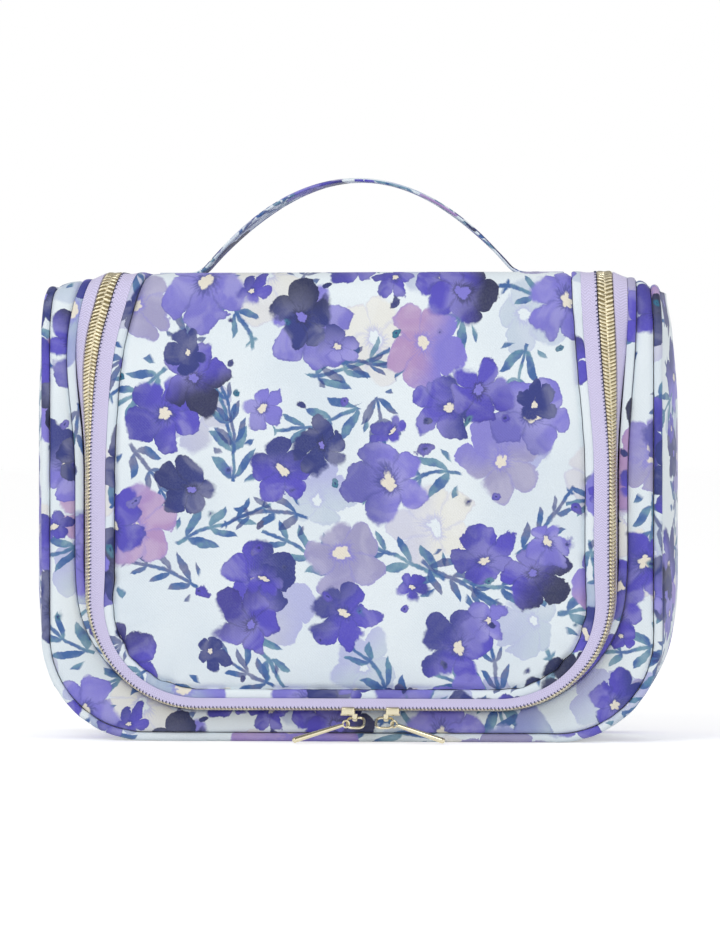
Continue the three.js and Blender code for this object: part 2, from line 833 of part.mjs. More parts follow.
function addPockets() {
  const lidWall = frontY - along(lidLift, lidPocketHigh) + liningOuter + liningThick;
  const lidFace = lidWall + pocketDepth + clearance;
  const lidLow = point(-lidPocketHalf, 0, lidPocketLow);
  const lidHigh = point(lidPocketHalf, 0, lidPocketHigh);
  add('lid_pocket_frame', pocket(lidLow, lidHigh, lidWall, 1, false), printBlue);
  add('lid_pocket_net', block(
    point(-lidPocketHalf, lidFace, lidPocketLow + hemHeight + clearance),
    point(lidPocketHalf, lidFace + netThick, lidPocketHigh),
  ), netGrey);
  add('lid_pocket_elastic', block(
    point(-lidPocketHalf, lidFace, lidPocketLow),
    point(lidPocketHalf, lidFace + hemThick, lidPocketLow + hemHeight),
  ), lilac);
  const backWall = backY - wallDepth;
  const backFace = backWall - pocketDepth - clearance;
  const slipLow = point(-slipPocketHalf, 0, slipPocketLow);
  const slipHigh = point(slipPocketHalf, 0, slipPocketHigh);
  add('slip_pocket_frame', pocket(slipLow, slipHigh, backWall, -1, true), liningGrey);
  add('slip_pocket_panel', block(
    point(-slipPocketHalf, backFace - liningThick, slipPocketLow),
    point(slipPocketHalf, backFace, slipPocketHigh - hemHeight - clearance),
  ), liningGrey);
  add('slip_pocket_elastic', block(
    point(-slipPocketHalf, backFace - hemThick, slipPocketHigh - hemHeight),
    point(slipPocketHalf, backFace, slipPocketHigh),
  ), lilac);
}

// Hook: a sewn tab, a webbing loop that flips, a wire ring, a swivel and the hook

const hookTabZ = zipBottomHeight + tapeShow.bottom + bindingWidth + 4 * clearance;
const hookWallY = frontY - lidLift.bottom + liningOuter + liningThick + clearance;
const hookPivotY = hookWallY + hookTabThick + clearance + hookLoopThick / 2;
const hookPivotZ = hookTabZ + hookTabHeight + hookPivotLift;
const hookY = hookWallY + hookStandoff;

function addHook() {
  add('hook_tab', block(
    point(-hookTabWidth / 2, hookWallY, hookTabZ),
    point(hookTabWidth / 2, hookWallY + hookTabThick, hookTabZ + hookTabHeight),
  ), webbingLilac);
  const loopTop = hookPivotZ + hookLoopLength;
  const half = hookLoopWidth / 2;
  const leaf = (y, z) => [
    point(-half, y - hookLoopThick / 2, z),
    point(half, y - hookLoopThick / 2, z),
    point(half, y + hookLoopThick / 2, z),
    point(-half, y + hookLoopThick / 2, z),
  ];
  add('hook_webbing', loft([leaf(hookPivotY, hookPivotZ), leaf(hookY, loopTop)]), webbingLilac);
  const ringLow = loopTop + clearance;
  const ringCentre = point(0, hookY, ringLow + ringHeight / 2);
  const ringLine = roundedRectangle(2 * (ringHalfWidth - ringWire), ringHeight - 2 * ringWire, ringWire)
    .map((q) => ringCentre.clone().add(point(q.x, 0, q.y)));
  add('hook_ring', closedWire(ringLine, ringWire, point(0, 1, 0)), paleGold, 0.3, 1);
  const swivelLow = ringLow + ringHeight + clearance;
  const swivel = new THREE.CylinderGeometry(swivelRadius, swivelRadius, swivelLength, 12);
  swivel.rotateX(quarterTurn).translate(0, hookY, swivelLow + swivelLength / 2);
  add('hook_swivel', swivel, paleGold, 0.3, 1);
  add('hook', hookGeometry(swivelLow + swivelLength + clearance), paleGold, 0.3, 1);
}

// The hook's wire: a straight shank on the swivel's axis, then an arc and a short tip
function hookGeometry(base) {
  const line = [point(0, hookY, base), point(0, hookY, base + hookShank)];
  const steps = 10;
  for (let i = 1; i <= steps; i += 1) {
    const angle = Math.PI * (1 - i / steps);
    line.push(point(hookBend + hookBend * Math.cos(angle), hookY, base + hookShank + hookBend * Math.sin(angle)));
  }
  line.push(point(2 * hookBend, hookY, base + hookShank - hookTipLength));
  const sections = line.map((p, i) => {
    const before = line[Math.max(i - 1, 0)];
    const after = line[Math.min(i + 1, line.length - 1)];
    const run = after.clone().sub(before).normalize();
    const out = point(run.z, 0, -run.x);
    const section = [];
    for (let k = 0; k < 8; k += 1) {
      const angle = 2 * Math.PI * k / 8;
      section.push(p.clone()
        .addScaledVector(out, hookWire * Math.cos(angle))
        .add(point(0, hookWire * Math.sin(angle), 0)));
    }
    return section;
  });
  return loft(sections);
}

addBody();
addBodyZip();
addZipTabs();
addTopFlap();
addHandle();
addFrontLid();
addPockets();
addHook();
addSliders();

export default bag;
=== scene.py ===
"""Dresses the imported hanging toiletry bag: printed cloth, zip, fittings, linings and a plain studio."""

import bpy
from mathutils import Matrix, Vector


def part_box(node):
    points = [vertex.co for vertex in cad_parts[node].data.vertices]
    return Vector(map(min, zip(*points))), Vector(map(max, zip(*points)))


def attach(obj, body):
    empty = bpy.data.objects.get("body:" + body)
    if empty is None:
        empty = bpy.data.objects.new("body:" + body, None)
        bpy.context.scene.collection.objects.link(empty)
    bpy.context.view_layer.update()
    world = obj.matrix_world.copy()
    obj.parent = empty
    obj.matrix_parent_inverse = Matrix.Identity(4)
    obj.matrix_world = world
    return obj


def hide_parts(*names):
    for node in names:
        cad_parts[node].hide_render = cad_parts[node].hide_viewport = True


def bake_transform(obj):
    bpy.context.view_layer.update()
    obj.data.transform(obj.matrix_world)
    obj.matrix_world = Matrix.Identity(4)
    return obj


bl_info = {
    "name": "Hanging toiletry bag",
    "version": (1, 0, 0),
    "blender": (4, 5, 0),
    "location": "View3D > Sidebar > Toiletry bag",
    "description": "Makes the cloth, zip, fittings and linings of a hanging toiletry bag",
    "category": "Object",
}

import math
from functools import partial

import bmesh
import bpy
import numpy as np
from bpy.props import FloatProperty, FloatVectorProperty, PointerProperty
from mathutils import Matrix, Vector

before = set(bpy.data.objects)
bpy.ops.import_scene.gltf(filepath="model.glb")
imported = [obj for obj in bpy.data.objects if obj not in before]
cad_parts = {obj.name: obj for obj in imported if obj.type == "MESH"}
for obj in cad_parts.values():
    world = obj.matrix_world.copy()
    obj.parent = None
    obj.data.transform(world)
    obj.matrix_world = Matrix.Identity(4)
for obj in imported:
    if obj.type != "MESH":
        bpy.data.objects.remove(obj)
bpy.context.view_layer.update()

MM = 0.001
MERGE = 1e-7
SIDES = ((-1, "left"), (1, "right"))


def box_mm(node):
    """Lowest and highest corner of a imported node, in millimetres."""
    low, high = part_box(node)
    return np.array(low) / MM, np.array(high) / MM


# Sizes in millimetres. The body's own come from the frame.
HALF_WIDTH = box_mm("side_gusset")[1][0]
HEIGHT = box_mm("front_border")[1][2]
BACK_Y = box_mm("back_panel")[1][1]
FRONT_Y = -BACK_Y
CORNER_RADIUS = 40
FOLD_RADIUS = 10
TOP_EDGE_INSET = 1.6
TOP_EDGE_DROP = 2.2

CLOTH_THICK = 1.2
FOAM_THICK = 2.4
LINING_THICK = 0.8
CLEARANCE = 0.3
FOAM_OUTER = CLOTH_THICK + CLEARANCE
LINING_OUTER = FOAM_OUTER + FOAM_THICK + CLEARANCE
WALL_DEPTH = CLOTH_THICK + FOAM_THICK + LINING_THICK + 2 * CLEARANCE

PIPING_RADIUS = 1.6
PIPING_SINK = 1.3
RIM_INSET = 2 * PIPING_RADIUS + CLEARANCE

ZIP_TOP_HALF = HALF_WIDTH - 25.2
ZIP_SIDE_HALF = HALF_WIDTH - 18.7
ZIP_BOTTOM = 12.8
ZIP_CORNER = 43
ZIP_NARROWING = 88
# Soft cloth: near the top the left of the zip leans in further. Width, lowest height, reach, steepness
LEFT_LEAN = (9.3, 125, 50, 2.6)
RIGHT_LEAN = (3.2, 105, 70, 1.5)
CORNER_REACH = 30  # how far along the zip its corner still eases the seams
HINGE_SINK = 2.2  # how deep the lid's strips go in under the back
TURN_START = ZIP_BOTTOM + 57.2
TURN_END = HEIGHT - 75

ROW_WIDTH = 2.4
ROW_GAP = 1.0
TAPE_THICK = 0.8
TAPE_START = ROW_GAP / 2 + ROW_WIDTH + CLEARANCE  # from the zip's middle to the edge of a tape
BINDING_WIDTH = 3.6
BINDING_THICK = 1.6
OUTER_BINDING_WIDTH = 3.2
OUTER_BINDING_THICK = 1.5

# Sizes that change along the zip, each at the top, at the side and at the bottom
CHAIN_TURN = (0, 68, 84)
CHAIN_LIFT = (2.6, 4.2, 5.2)
LID_LIFT = (2.4, 6.0, 7.4)
TAPE_SHOW = (5.2, 5.0, 3.0)
OUTER_TAPE_TURN = (24, 84, 95)
OUTER_TAPE_SHOW = (5.0, 0.8, 0.9)
OUTER_BINDING_START = (8.5, 2.3, -2.4)
OUTER_BINDING_LIFT = (0.8, 0.5, 0.0)

HANDLE_WIDTH = 18
HANDLE_THICK = 1.8
HANDLE_RISE = 35.6
HANDLE_TAB_END = box_mm("handle_tab_right")[1][0]
HANDLE_TAB_START = box_mm("handle_tab_right")[0][0]
HANDLE_PIVOT_Z = HEIGHT + LID_LIFT[0] + CLEARANCE + 1.6
HANDLE_HALF = box_mm("handle_strap")[1][0] - HANDLE_THICK / 2
STRAP_THICK = 1.4
HOOK_WIRE = 1.5  # radius of the hook's wire

# Places that follow from the sizes
FOLD_START = HEIGHT - FOLD_RADIUS
TOP_START = FOLD_START + FOLD_RADIUS * math.pi / 2
TOP_END = TOP_START + (BACK_Y - FRONT_Y) - 2 * FOLD_RADIUS
BACK_START = TOP_END + FOLD_RADIUS * math.pi / 2
TOP_MIDDLE = (TOP_START + TOP_END) / 2
ZIP_CORNER_X = ZIP_SIDE_HALF - ZIP_CORNER
ZIP_CORNER_V = ZIP_BOTTOM + ZIP_CORNER
RIM_CORNER_X = HALF_WIDTH - CORNER_RADIUS
SIDE_TOP = HEIGHT - TOP_EDGE_DROP - RIM_INSET

# Where the cloth bends: from the first point to the second, in millimetres
FRONT_BEND = ("front_lid", "top_flap", (0, FRONT_Y - 3, 163), (0, FRONT_Y + 11, 177))
REAR_BEND = ("top_flap", "bag_body", (0, BACK_Y - 20, 177), (0, BACK_Y, 163))
HANDLE_BEND = ("top_flap", "handle", (0, 0, HANDLE_PIVOT_Z), (0, 0, HANDLE_PIVOT_Z + 9))


def linear(hex_colour):
    """An sRGB hex colour as linear red, green and blue."""
    parts = [int(hex_colour[i:i + 2], 16) / 255 for i in (0, 2, 4)]
    return tuple(c / 12.92 if c <= 0.04045 else ((c + 0.055) / 1.055) ** 2.4 for c in parts)


def colour_property(name, description, hex_colour):
    return FloatVectorProperty(name=name, description=description, subtype="COLOR", size=3, min=0, max=1,
                               default=linear(hex_colour))


def length_property(name, description, millimetres):
    return FloatProperty(name=name, description=description, unit="LENGTH", min=0, default=millimetres * MM)


class BagSizes(bpy.types.PropertyGroup):
    """Sizes that change how full and how fine the cloth and zip look."""

    lid_crown: length_property("Lid crown", "How far the padded lid swells out of its seam", 2.3)
    gusset_bulge: length_property("Gusset bulge", "How far the side walls swell outwards", 5.2)
    back_crown: length_property("Back crown", "How far the back swells", 1.2)
    seam_sink: length_property("Seam sink", "How deep the cloth dips at a seam", 1.1)
    pucker: length_property("Pucker", "Height of the small creases along the seams", 0.5)
    tooth_pitch: length_property("Tooth pitch", "Distance from one coil turn to the next", 1.4)
    net_pitch: length_property("Net pitch", "Distance between the threads of the pocket net", 2.8)
    camera_distance: length_property("Camera distance", "From the camera to the bag's front", 1800)
    camera_turn: FloatProperty(name="Camera turn", description="Angle of the camera round the bag",
                               unit="ROTATION", default=math.radians(4.6))


class BagColours(bpy.types.PropertyGroup):
    """Colours of the print, the zip, the fittings and the lining."""

    ground: colour_property("Ground", "Unprinted cloth", "e4edf2")
    violet: colour_property("Violet", "Main blossom colour", "5249bd")
    periwinkle: colour_property("Periwinkle", "Thin violet wash", "7d77d2")
    indigo: colour_property("Indigo", "Deep blossom colour", "27337e")
    navy: colour_property("Navy", "Darkest pigment", "1c2348")
    lilac_grey: colour_property("Lilac grey", "Quiet blossom colour", "9d99c0")
    blue_grey: colour_property("Blue grey", "Cool quiet wash", "a5b7cf")
    mauve: colour_property("Mauve", "Pink violet wash", "b08fbf")
    cream: colour_property("Cream", "Warm pale wash", "e6dfd0")
    teal: colour_property("Teal", "Stems and sprigs", "1f7596")
    steel: colour_property("Steel blue", "Leaves", "3c64a0")
    tape: colour_property("Tape", "Zip tape", "dad3f5")
    teeth: colour_property("Teeth", "Metallised coil", "f6ebcb")
    metal: colour_property("Fittings", "Sliders, pulls and hook", "e0d7b9")
    lining: colour_property("Lining", "Plain lining cloth", "c3bfdc")
    net: colour_property("Net", "Pocket net", "a9a5cc")
    webbing: colour_property("Webbing", "Loop that holds the hook", "aaa3d6")
    floor: colour_property("Floor", "Studio floor and backdrop", "f4f4f4")


def sizes():
    return bpy.context.scene.bag_sizes


def colours():
    return bpy.context.scene.bag_colours


def pack(*parts):
    """Points or places from their coordinates, which are spread over each other."""
    return np.stack(np.broadcast_arrays(*parts), axis=-1)


def unit(vectors):
    return vectors / np.linalg.norm(vectors, axis=-1, keepdims=True)


def running_length(steps):
    """Lengths from the start, given the length of each step."""
    return np.concatenate([[0], np.cumsum(steps)])


def line_length(points):
    return running_length(np.linalg.norm(np.diff(points, axis=0), axis=1))


def at_lengths(wanted, lengths, line):
    """Points of a line in a plane at wanted lengths along it."""
    return pack(*(np.interp(wanted, lengths, line[:, i]) for i in (0, 1)))


def evened(line, count, passes):
    """A line in a plane with evenly spaced points, its bends softened in a few passes."""
    lengths = line_length(line)
    line = at_lengths(np.linspace(0, lengths[-1], count), lengths, line)
    for _ in range(passes):
        line[1:-1] = (line[:-2] + 2 * line[1:-1] + line[2:]) / 4
    return line


def circle(count):
    """Angles evenly round a full turn."""
    return np.linspace(0, 2 * math.pi, count, endpoint=False)


# Cloth coordinates: x across, v along the surface from the base up the front, over the top and
# down the back, n out of the surface. All in millimetres.

def wrap(x, v, n):
    v = np.asarray(v, float)
    quarter = math.pi / 2
    turn = (np.clip((v - FOLD_START) / FOLD_RADIUS, 0, quarter)
            + np.clip((v - TOP_END) / FOLD_RADIUS, 0, quarter))
    y = FRONT_Y + FOLD_RADIUS + np.clip(v - TOP_START, 0, TOP_END - TOP_START)
    z = np.minimum(v, FOLD_START) - np.maximum(v - BACK_START, 0)
    radius = FOLD_RADIUS + n
    return pack(x, y - radius * np.cos(turn), z + radius * np.sin(turn))


def smooth(value, low, high):
    share = np.clip((np.asarray(value, float) - low) / (high - low), 0, 1)
    return share * share * (3 - 2 * share)


def along(size, v):
    """A size that changes from the bottom of the zip to its side and its top."""
    top, side, bottom = size
    rise = smooth(v, TURN_END, HEIGHT)
    fall = 1 - smooth(v, ZIP_BOTTOM, TURN_START)
    return side + (top - side) * rise + (bottom - side) * fall


def zip_half(v):
    share = np.clip((HEIGHT - v) / ZIP_NARROWING, 0, 1)
    return ZIP_TOP_HALF + (ZIP_SIDE_HALF - ZIP_TOP_HALF) * (1 - np.cos(np.pi * share)) / 2


def lean(v, side):
    """How far the zip on one side has swung in towards the top, beyond or short of the even line."""
    width, start, reach, steepness = LEFT_LEAN
    left = np.clip((v - start) / reach, 0, None) ** steepness
    left = width * left / (1 + left ** 4) ** 0.25
    width, start, reach, steepness = RIGHT_LEAN
    right = width * np.clip((v - start) / reach, 0, 1.08) ** steepness
    swing = np.where(side < 0, left, right)
    return ZIP_SIDE_HALF - swing - zip_half(v)


def zip_table():
    """Fine places of the right half of the zip line: x, v, outward bx and bv, and the rim beside it."""
    share = np.linspace(0, 1, 30, endpoint=False)
    rows = [pack(share * ZIP_CORNER_X, ZIP_BOTTOM, 0, -1, share * RIM_CORNER_X, 0)]
    angle = np.linspace(-math.pi / 2, 0, 60, endpoint=False)
    cos, sin = np.cos(angle), np.sin(angle)
    rows.append(pack(ZIP_CORNER_X + ZIP_CORNER * cos, ZIP_CORNER_V + ZIP_CORNER * sin, cos, sin,
                     RIM_CORNER_X + CORNER_RADIUS * cos, CORNER_RADIUS + CORNER_RADIUS * sin))
    v = np.linspace(ZIP_CORNER_V, FOLD_START, 110)
    rows.append(pack(zip_half(v), v, 1, 0, HALF_WIDTH, np.linspace(CORNER_RADIUS, FOLD_START, 110)))
    v = np.linspace(FOLD_START + 0.5, BACK_START + 30, 260)
    rows.append(pack(zip_half(v), v, 1, 0, HALF_WIDTH, v))
    table = np.concatenate(rows).T
    steps = np.hypot(np.diff(table[0]), np.diff(table[1]))
    return running_length(steps), table


ZIP_S, ZIP_TABLE = zip_table()
CORNER_S = ZIP_CORNER_X  # length along the zip at which its corner starts


class Station:
    """Places on the zip line at signed lengths s from its middle at the bottom."""

    def __init__(self, s):
        self.s = np.asarray(s, float).reshape(np.shape(s) + (1,))
        side = np.where(self.s < 0, -1.0, 1.0)
        x, self.v, bx, self.bv, rim_x, self.rim_v = (
            np.interp(np.abs(self.s), ZIP_S, row) for row in ZIP_TABLE)
        x = x + np.where(self.v > ZIP_CORNER_V, lean(self.v, self.s), 0)
        self.x, self.bx, self.rim_x, self.side = x * side, bx * side, rim_x * side, side


def s_at(v):
    """Length along the zip at which it reaches the height v, past its corner."""
    return float(np.interp(v, ZIP_TABLE[1][100:], ZIP_S[100:]))


S_MIDDLE = s_at(TOP_MIDDLE)
S_END = s_at(TOP_END - CLEARANCE)


def across(station, b, n):
    """A point of the zip's cross-section: b runs outwards from the chain, n out of the surface."""
    return wrap(station.x + b * station.bx, station.v + b * station.bv, n)


def on_rim(station, inset, n):
    """A point measured inwards from the outer edge of the body."""
    rearward = smooth(station.rim_v, TOP_END, BACK_START)
    share = smooth(station.rim_v, FOLD_START - FOLD_RADIUS, TOP_START) * (1 - rearward)
    x = station.rim_x - inset * station.bx - TOP_EDGE_INSET * share * station.side
    return wrap(x, station.rim_v - inset * station.bv, n - TOP_EDGE_DROP * share)


def lifted(lift, v):
    """A height over the body's surface, which sinks where the hinge is sewn in under the back."""
    sunk = smooth(v, TOP_END + 3, BACK_START + 1)
    return along(lift, v) * (1 - sunk) - HINGE_SINK * sunk


def chain_axis(station):
    turn = np.radians(along(CHAIN_TURN, station.v))
    return -np.cos(turn), np.sin(turn), lifted(CHAIN_LIFT, station.v)


def tape_ends(station):
    """Where the lid's tape starts at the coil and where it goes under the binding."""
    axis_b, axis_n, lift = chain_axis(station)
    start_b, start_n = TAPE_START * axis_b, lift + (TAPE_START + TAPE_THICK / 2 + CLEARANCE) * axis_n
    return start_b, start_n, start_b - along(TAPE_SHOW, station.v), lifted(LID_LIFT, station.v) + CLEARANCE


def near_corner(station):
    """A share that is 1 in the middle of the zip's corner and fades to both sides."""
    return np.exp(-((np.abs(station.s) - CORNER_S - ZIP_CORNER * 0.8) / CORNER_REACH) ** 2)


def seam_wobble(station):
    """How far the seam between panel and binding wanders, most where the binding is eased round a corner."""
    return (0.1 + 0.5 * near_corner(station)) * ripple(station.s * 0.75)


def panel_edge(station):
    return tape_ends(station)[2] - BINDING_WIDTH - 2 * CLEARANCE + seam_wobble(station)


def ripple(length):
    """Uneven waves along a seam, between about -1 and 1."""
    return (np.sin(length / 1.9) + 0.8 * np.sin(length / 1.13 + 1.3) + 0.6 * np.sin(length / 3.7 + 0.4)) / 2.4


def swelling(distance, height, reach):
    """How far padded cloth stands out at a distance from its seam."""
    return height * (1 - np.exp(-distance / reach))


def groove(distance, depth, reach):
    """How deep a seam pulls the cloth in at a distance from it."""
    return depth * np.exp(-(distance / reach) ** 2)


def creases(distance, length, height, reach):
    """Small creases along a seam, which fade away from it."""
    return height * ripple(length) * np.exp(-distance / reach)


# Mesh making

def new_object(name, points, faces, uv=None, angle=40.0, merge=False):
    """A smooth mesh object from points in millimetres, its faces turned outwards."""
    mesh = bpy.data.meshes.new(name)
    points = np.asarray(points, float).reshape(-1, 3) * MM
    mesh.from_pydata(points.tolist(), [], faces)
    if uv is not None:
        corner = np.zeros(len(mesh.loops), np.int32)
        mesh.loops.foreach_get("vertex_index", corner)
        layer = mesh.uv_layers.new(name="cloth")
        layer.data.foreach_set("uv", np.asarray(uv, np.float32).reshape(-1, 2)[corner].ravel())
    bm = bmesh.new()
    bm.from_mesh(mesh)
    if merge:
        bmesh.ops.remove_doubles(bm, verts=bm.verts, dist=MERGE)
    bmesh.ops.recalc_face_normals(bm, faces=bm.faces)
    bm.to_mesh(mesh)
    bm.free()
    obj = linked(name, mesh)
    select_only(obj)
    bpy.ops.object.shade_smooth_by_angle(angle=math.radians(angle))
    return obj


def linked(name, data):
    obj = bpy.data.objects.new(name, data)
    bpy.context.collection.objects.link(obj)
    return obj


def select_only(obj):
    bpy.ops.object.select_all(action="DESELECT")
    obj.select_set(True)
    bpy.context.view_layer.objects.active = obj


def apply_modifier(obj, kind, **settings):
    select_only(obj)
    modifier = obj.modifiers.new(kind.title(), kind)
    for key, value in settings.items():
        setattr(modifier, key, value)
    bpy.ops.object.modifier_apply(modifier=modifier.name)


def grid_faces(rows, columns):
    starts = (i * columns + j for i in range(rows - 1) for j in range(columns - 1))
    return [(k, k + 1, k + 1 + columns, k + columns) for k in starts]


def tube(name, rings, uv=None, angle=40.0):
    """A closed solid through rings of points: (rings, points, 3). Its cloth goes once round."""
    rings = np.asarray(rings, float)
    columns = rings.shape[1]
    rings = np.concatenate([rings, rings[:, :1]], axis=1)
    rows = rings.shape[0]
    if uv is None:
        uv = line_length(rings.mean(1))
    if np.ndim(uv) < 3:
        uv = strip_uv(uv, rings)
    faces = grid_faces(rows, columns + 1)
    faces += [tuple(range(columns)), tuple((rows - 1) * (columns + 1) + j for j in range(columns))]
    return new_object(name, rings, faces, uv, angle, merge=True)


def strip_uv(s, rings):
    """Cloth coordinates that run along a strip and across it, in millimetres."""
    steps = np.linalg.norm(np.diff(rings, axis=1), axis=2).mean(0)
    return pack(np.reshape(s, (-1, 1)), running_length(steps))


def sheet(name, outer, uv, thick):
    """A cloth sheet: a grid of points on its outer face, given its thickness inwards."""
    obj = new_object(name, outer, grid_faces(*outer.shape[:2]), uv, 50.0)
    outward(obj)
    apply_modifier(obj, "SOLIDIFY", thickness=thick * MM, offset=-1.0, use_even_offset=False)
    return obj


def outward(obj):
    """Turns an open sheet's faces to the side away from the bag's middle."""
    middle = Vector((0, 0, HEIGHT * MM / 2))
    total = sum(p.area * p.normal.dot(p.center - middle) for p in obj.data.polygons)
    if total < 0:
        obj.data.flip_normals()


# The slot that each material belongs to
SLOTS = {material: slot for slot, materials in (
    ("print_cloth", ("lid_cloth", "border_cloth", "gusset_cloth", "back_cloth", "strap_cloth")),
    ("print_binding", ("binding_cloth", "outer_cloth", "piping_cloth")),
    ("zip_tape", ("tape", "thread")),
    ("zip_teeth", ("coil", "core")),
    ("lining", ("lining", "pocket_cloth")),
    ("webbing", ("webbing", "pale_thread")),
    ("pale_gold", ("metal",)),
    ("foam", ("foam",)),
    ("net", ("net",)),
    ("elastic", ("elastic",))) for material in materials}


def place(obj, material, where, *nodes, slot=None):
    """Gives a finished piece its material and the body it hangs from, or bakes its transform where a bend is
    given, and hides the nodes it stands for.
    """
    obj.data.materials.clear()
    obj.data.materials.append(MATERIALS[material])
    if isinstance(where, str):
        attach(obj, where)
    else:
        first, second, start, end = where
        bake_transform(obj)
    if nodes:
        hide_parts(*nodes)
    slot or SLOTS[material]


def join(name, objects):
    """Several meshes as one piece."""
    select_only(objects[0])
    for obj in objects[1:]:
        obj.select_set(True)
    bpy.ops.object.join()
    objects[0].name = name
    objects[0].data.name = name
    return objects[0]


# Materials

# Kinds of shader node: type, the inputs that values fill in turn, the output that is used, and options.
# Any other kind is the operation of a Math node.
NOISE_INPUTS = ("Vector", "Scale", "Detail", "Distortion")
NODE_KINDS = {
    "MIX": ("Mix", (0, 6, 7), 2, {"data_type": "RGBA"}),
    "TINT": ("Mix", (0, 6, 7), 2, {"data_type": "RGBA", "blend_type": "MULTIPLY"}),
    "MIX_VALUE": ("Mix", (0, 2, 3), 0, {"data_type": "FLOAT"}),
    "RANGE": ("MapRange", range(5), 0, {}),
    "SMOOTH_RANGE": ("MapRange", range(5), 0, {"interpolation_type": "SMOOTHSTEP"}),
    "NOISE": ("TexNoise", NOISE_INPUTS, 0, {"noise_dimensions": "2D"}),
    "NOISE_COLOUR": ("TexNoise", NOISE_INPUTS, 1, {"noise_dimensions": "2D"}),
    "NOISE_3D": ("TexNoise", NOISE_INPUTS, 0, {}),
    "CELLS": ("TexVoronoi", ("Vector", "Scale"), 0, {}),
    "LOOSE_CELLS": ("TexVoronoi", ("Vector", "Scale", "Randomness"), 2, {"voronoi_dimensions": "2D"}),
    "VECTOR_MULTIPLY": ("VectorMath", range(2), 0, {"operation": "MULTIPLY"}),
    "VECTOR_SUBTRACT": ("VectorMath", range(2), 0, {"operation": "SUBTRACT"}),
    "VECTOR_MULTIPLY_ADD": ("VectorMath", range(3), 0, {"operation": "MULTIPLY_ADD"}),
    "VECTOR_LENGTH": ("VectorMath", range(1), 1, {"operation": "LENGTH"}),
    "TURN": ("VectorRotate", ("Vector", "Angle"), 0, {"rotation_type": "Z_AXIS"}),
    "MAPPING": ("Mapping", ("Vector", "Location", "Rotation"), 0, {}),
    "BUMP": ("Bump", ("Height", "Distance", "Strength"), 0, {}),
    "SEPARATE_XYZ": ("SeparateXYZ", range(1), 0, {}),
    "SEPARATE_COLOUR": ("SeparateColor", range(1), 0, {}),
    "COMBINE_COLOUR": ("CombineColor", range(3), 0, {}),
    "CLOTH_UV": ("UVMap", (), 0, {"uv_map": "cloth"}),
    "OBJECT_PLACE": ("TexCoord", (), 3, {}),
    "DIRECTION": ("TexCoord", (), 0, {}),
    "LIGHT_PATH": ("LightPath", (), 0, {}),
    "GROUP": ("Group", range(10), 0, {}),  # no group here has more inputs
}


def add_node(tree, kind, *values, **settings):
    """Adds one node, sets its options, fills or links its inputs in turn, and returns one output."""
    name, inputs, out, options = NODE_KINDS.get(kind, ("Math", range(3), 0, {"operation": kind}))
    node = tree.nodes.new("ShaderNode" + name)
    for key, value in {**options, **settings}.items():
        setattr(node, key, value)
    for key, value in zip(inputs, values):
        if isinstance(value, bpy.types.NodeSocket):
            tree.links.new(value, node.inputs[key])
        else:
            node.inputs[key].default_value = value
    return node.outputs[out]


def solid(colour, shade=1.0):
    """A colour for a shader's socket, darkened by a factor where the shade is below 1."""
    return (*(c * shade for c in colour), 1.0)


def node_group(name, sockets_in, sockets_out):
    """A new group: its tree, the function that adds nodes to it, its inputs and its outputs."""
    tree = bpy.data.node_groups.new(name, "ShaderNodeTree")
    for way, sockets in (("INPUT", sockets_in), ("OUTPUT", sockets_out)):
        for kind, labels in sockets:
            for label in labels:
                tree.interface.new_socket(label, in_out=way, socket_type="NodeSocket" + kind)
    given, result = tree.nodes.new("NodeGroupInput").outputs, tree.nodes.new("NodeGroupOutput").inputs
    return tree, partial(add_node, tree), given, result


def placed_motif(add, given, looseness, drift, tooth):
    """Coordinates round the middle of the motif that covers a place, its random turn and its chances."""
    place = given["Place"]
    broad = add("NOISE_COLOUR", place, 0.07, 1.0)
    fine = add("NOISE_COLOUR", place, 0.5, 3.0)
    drifted = add("VECTOR_MULTIPLY_ADD", broad, (drift, drift, 0), place)
    warped = add("VECTOR_MULTIPLY_ADD", fine, (tooth, tooth, 0), drifted)
    scale = add("DIVIDE", 1.0, given["Spacing"])
    cell = add("LOOSE_CELLS", warped, scale, looseness)
    chance = add("SEPARATE_COLOUR", cell.node.outputs["Color"]).node.outputs
    offset = add("VECTOR_SUBTRACT", warped, cell)
    flat = add("VECTOR_MULTIPLY", offset, (1, 1, 0))
    angle = add("MULTIPLY", chance[0], 6.283)
    turned = add("TURN", flat, angle)
    filled = add("LESS_THAN", chance[2], given["Filled"])
    return turned, chance, filled


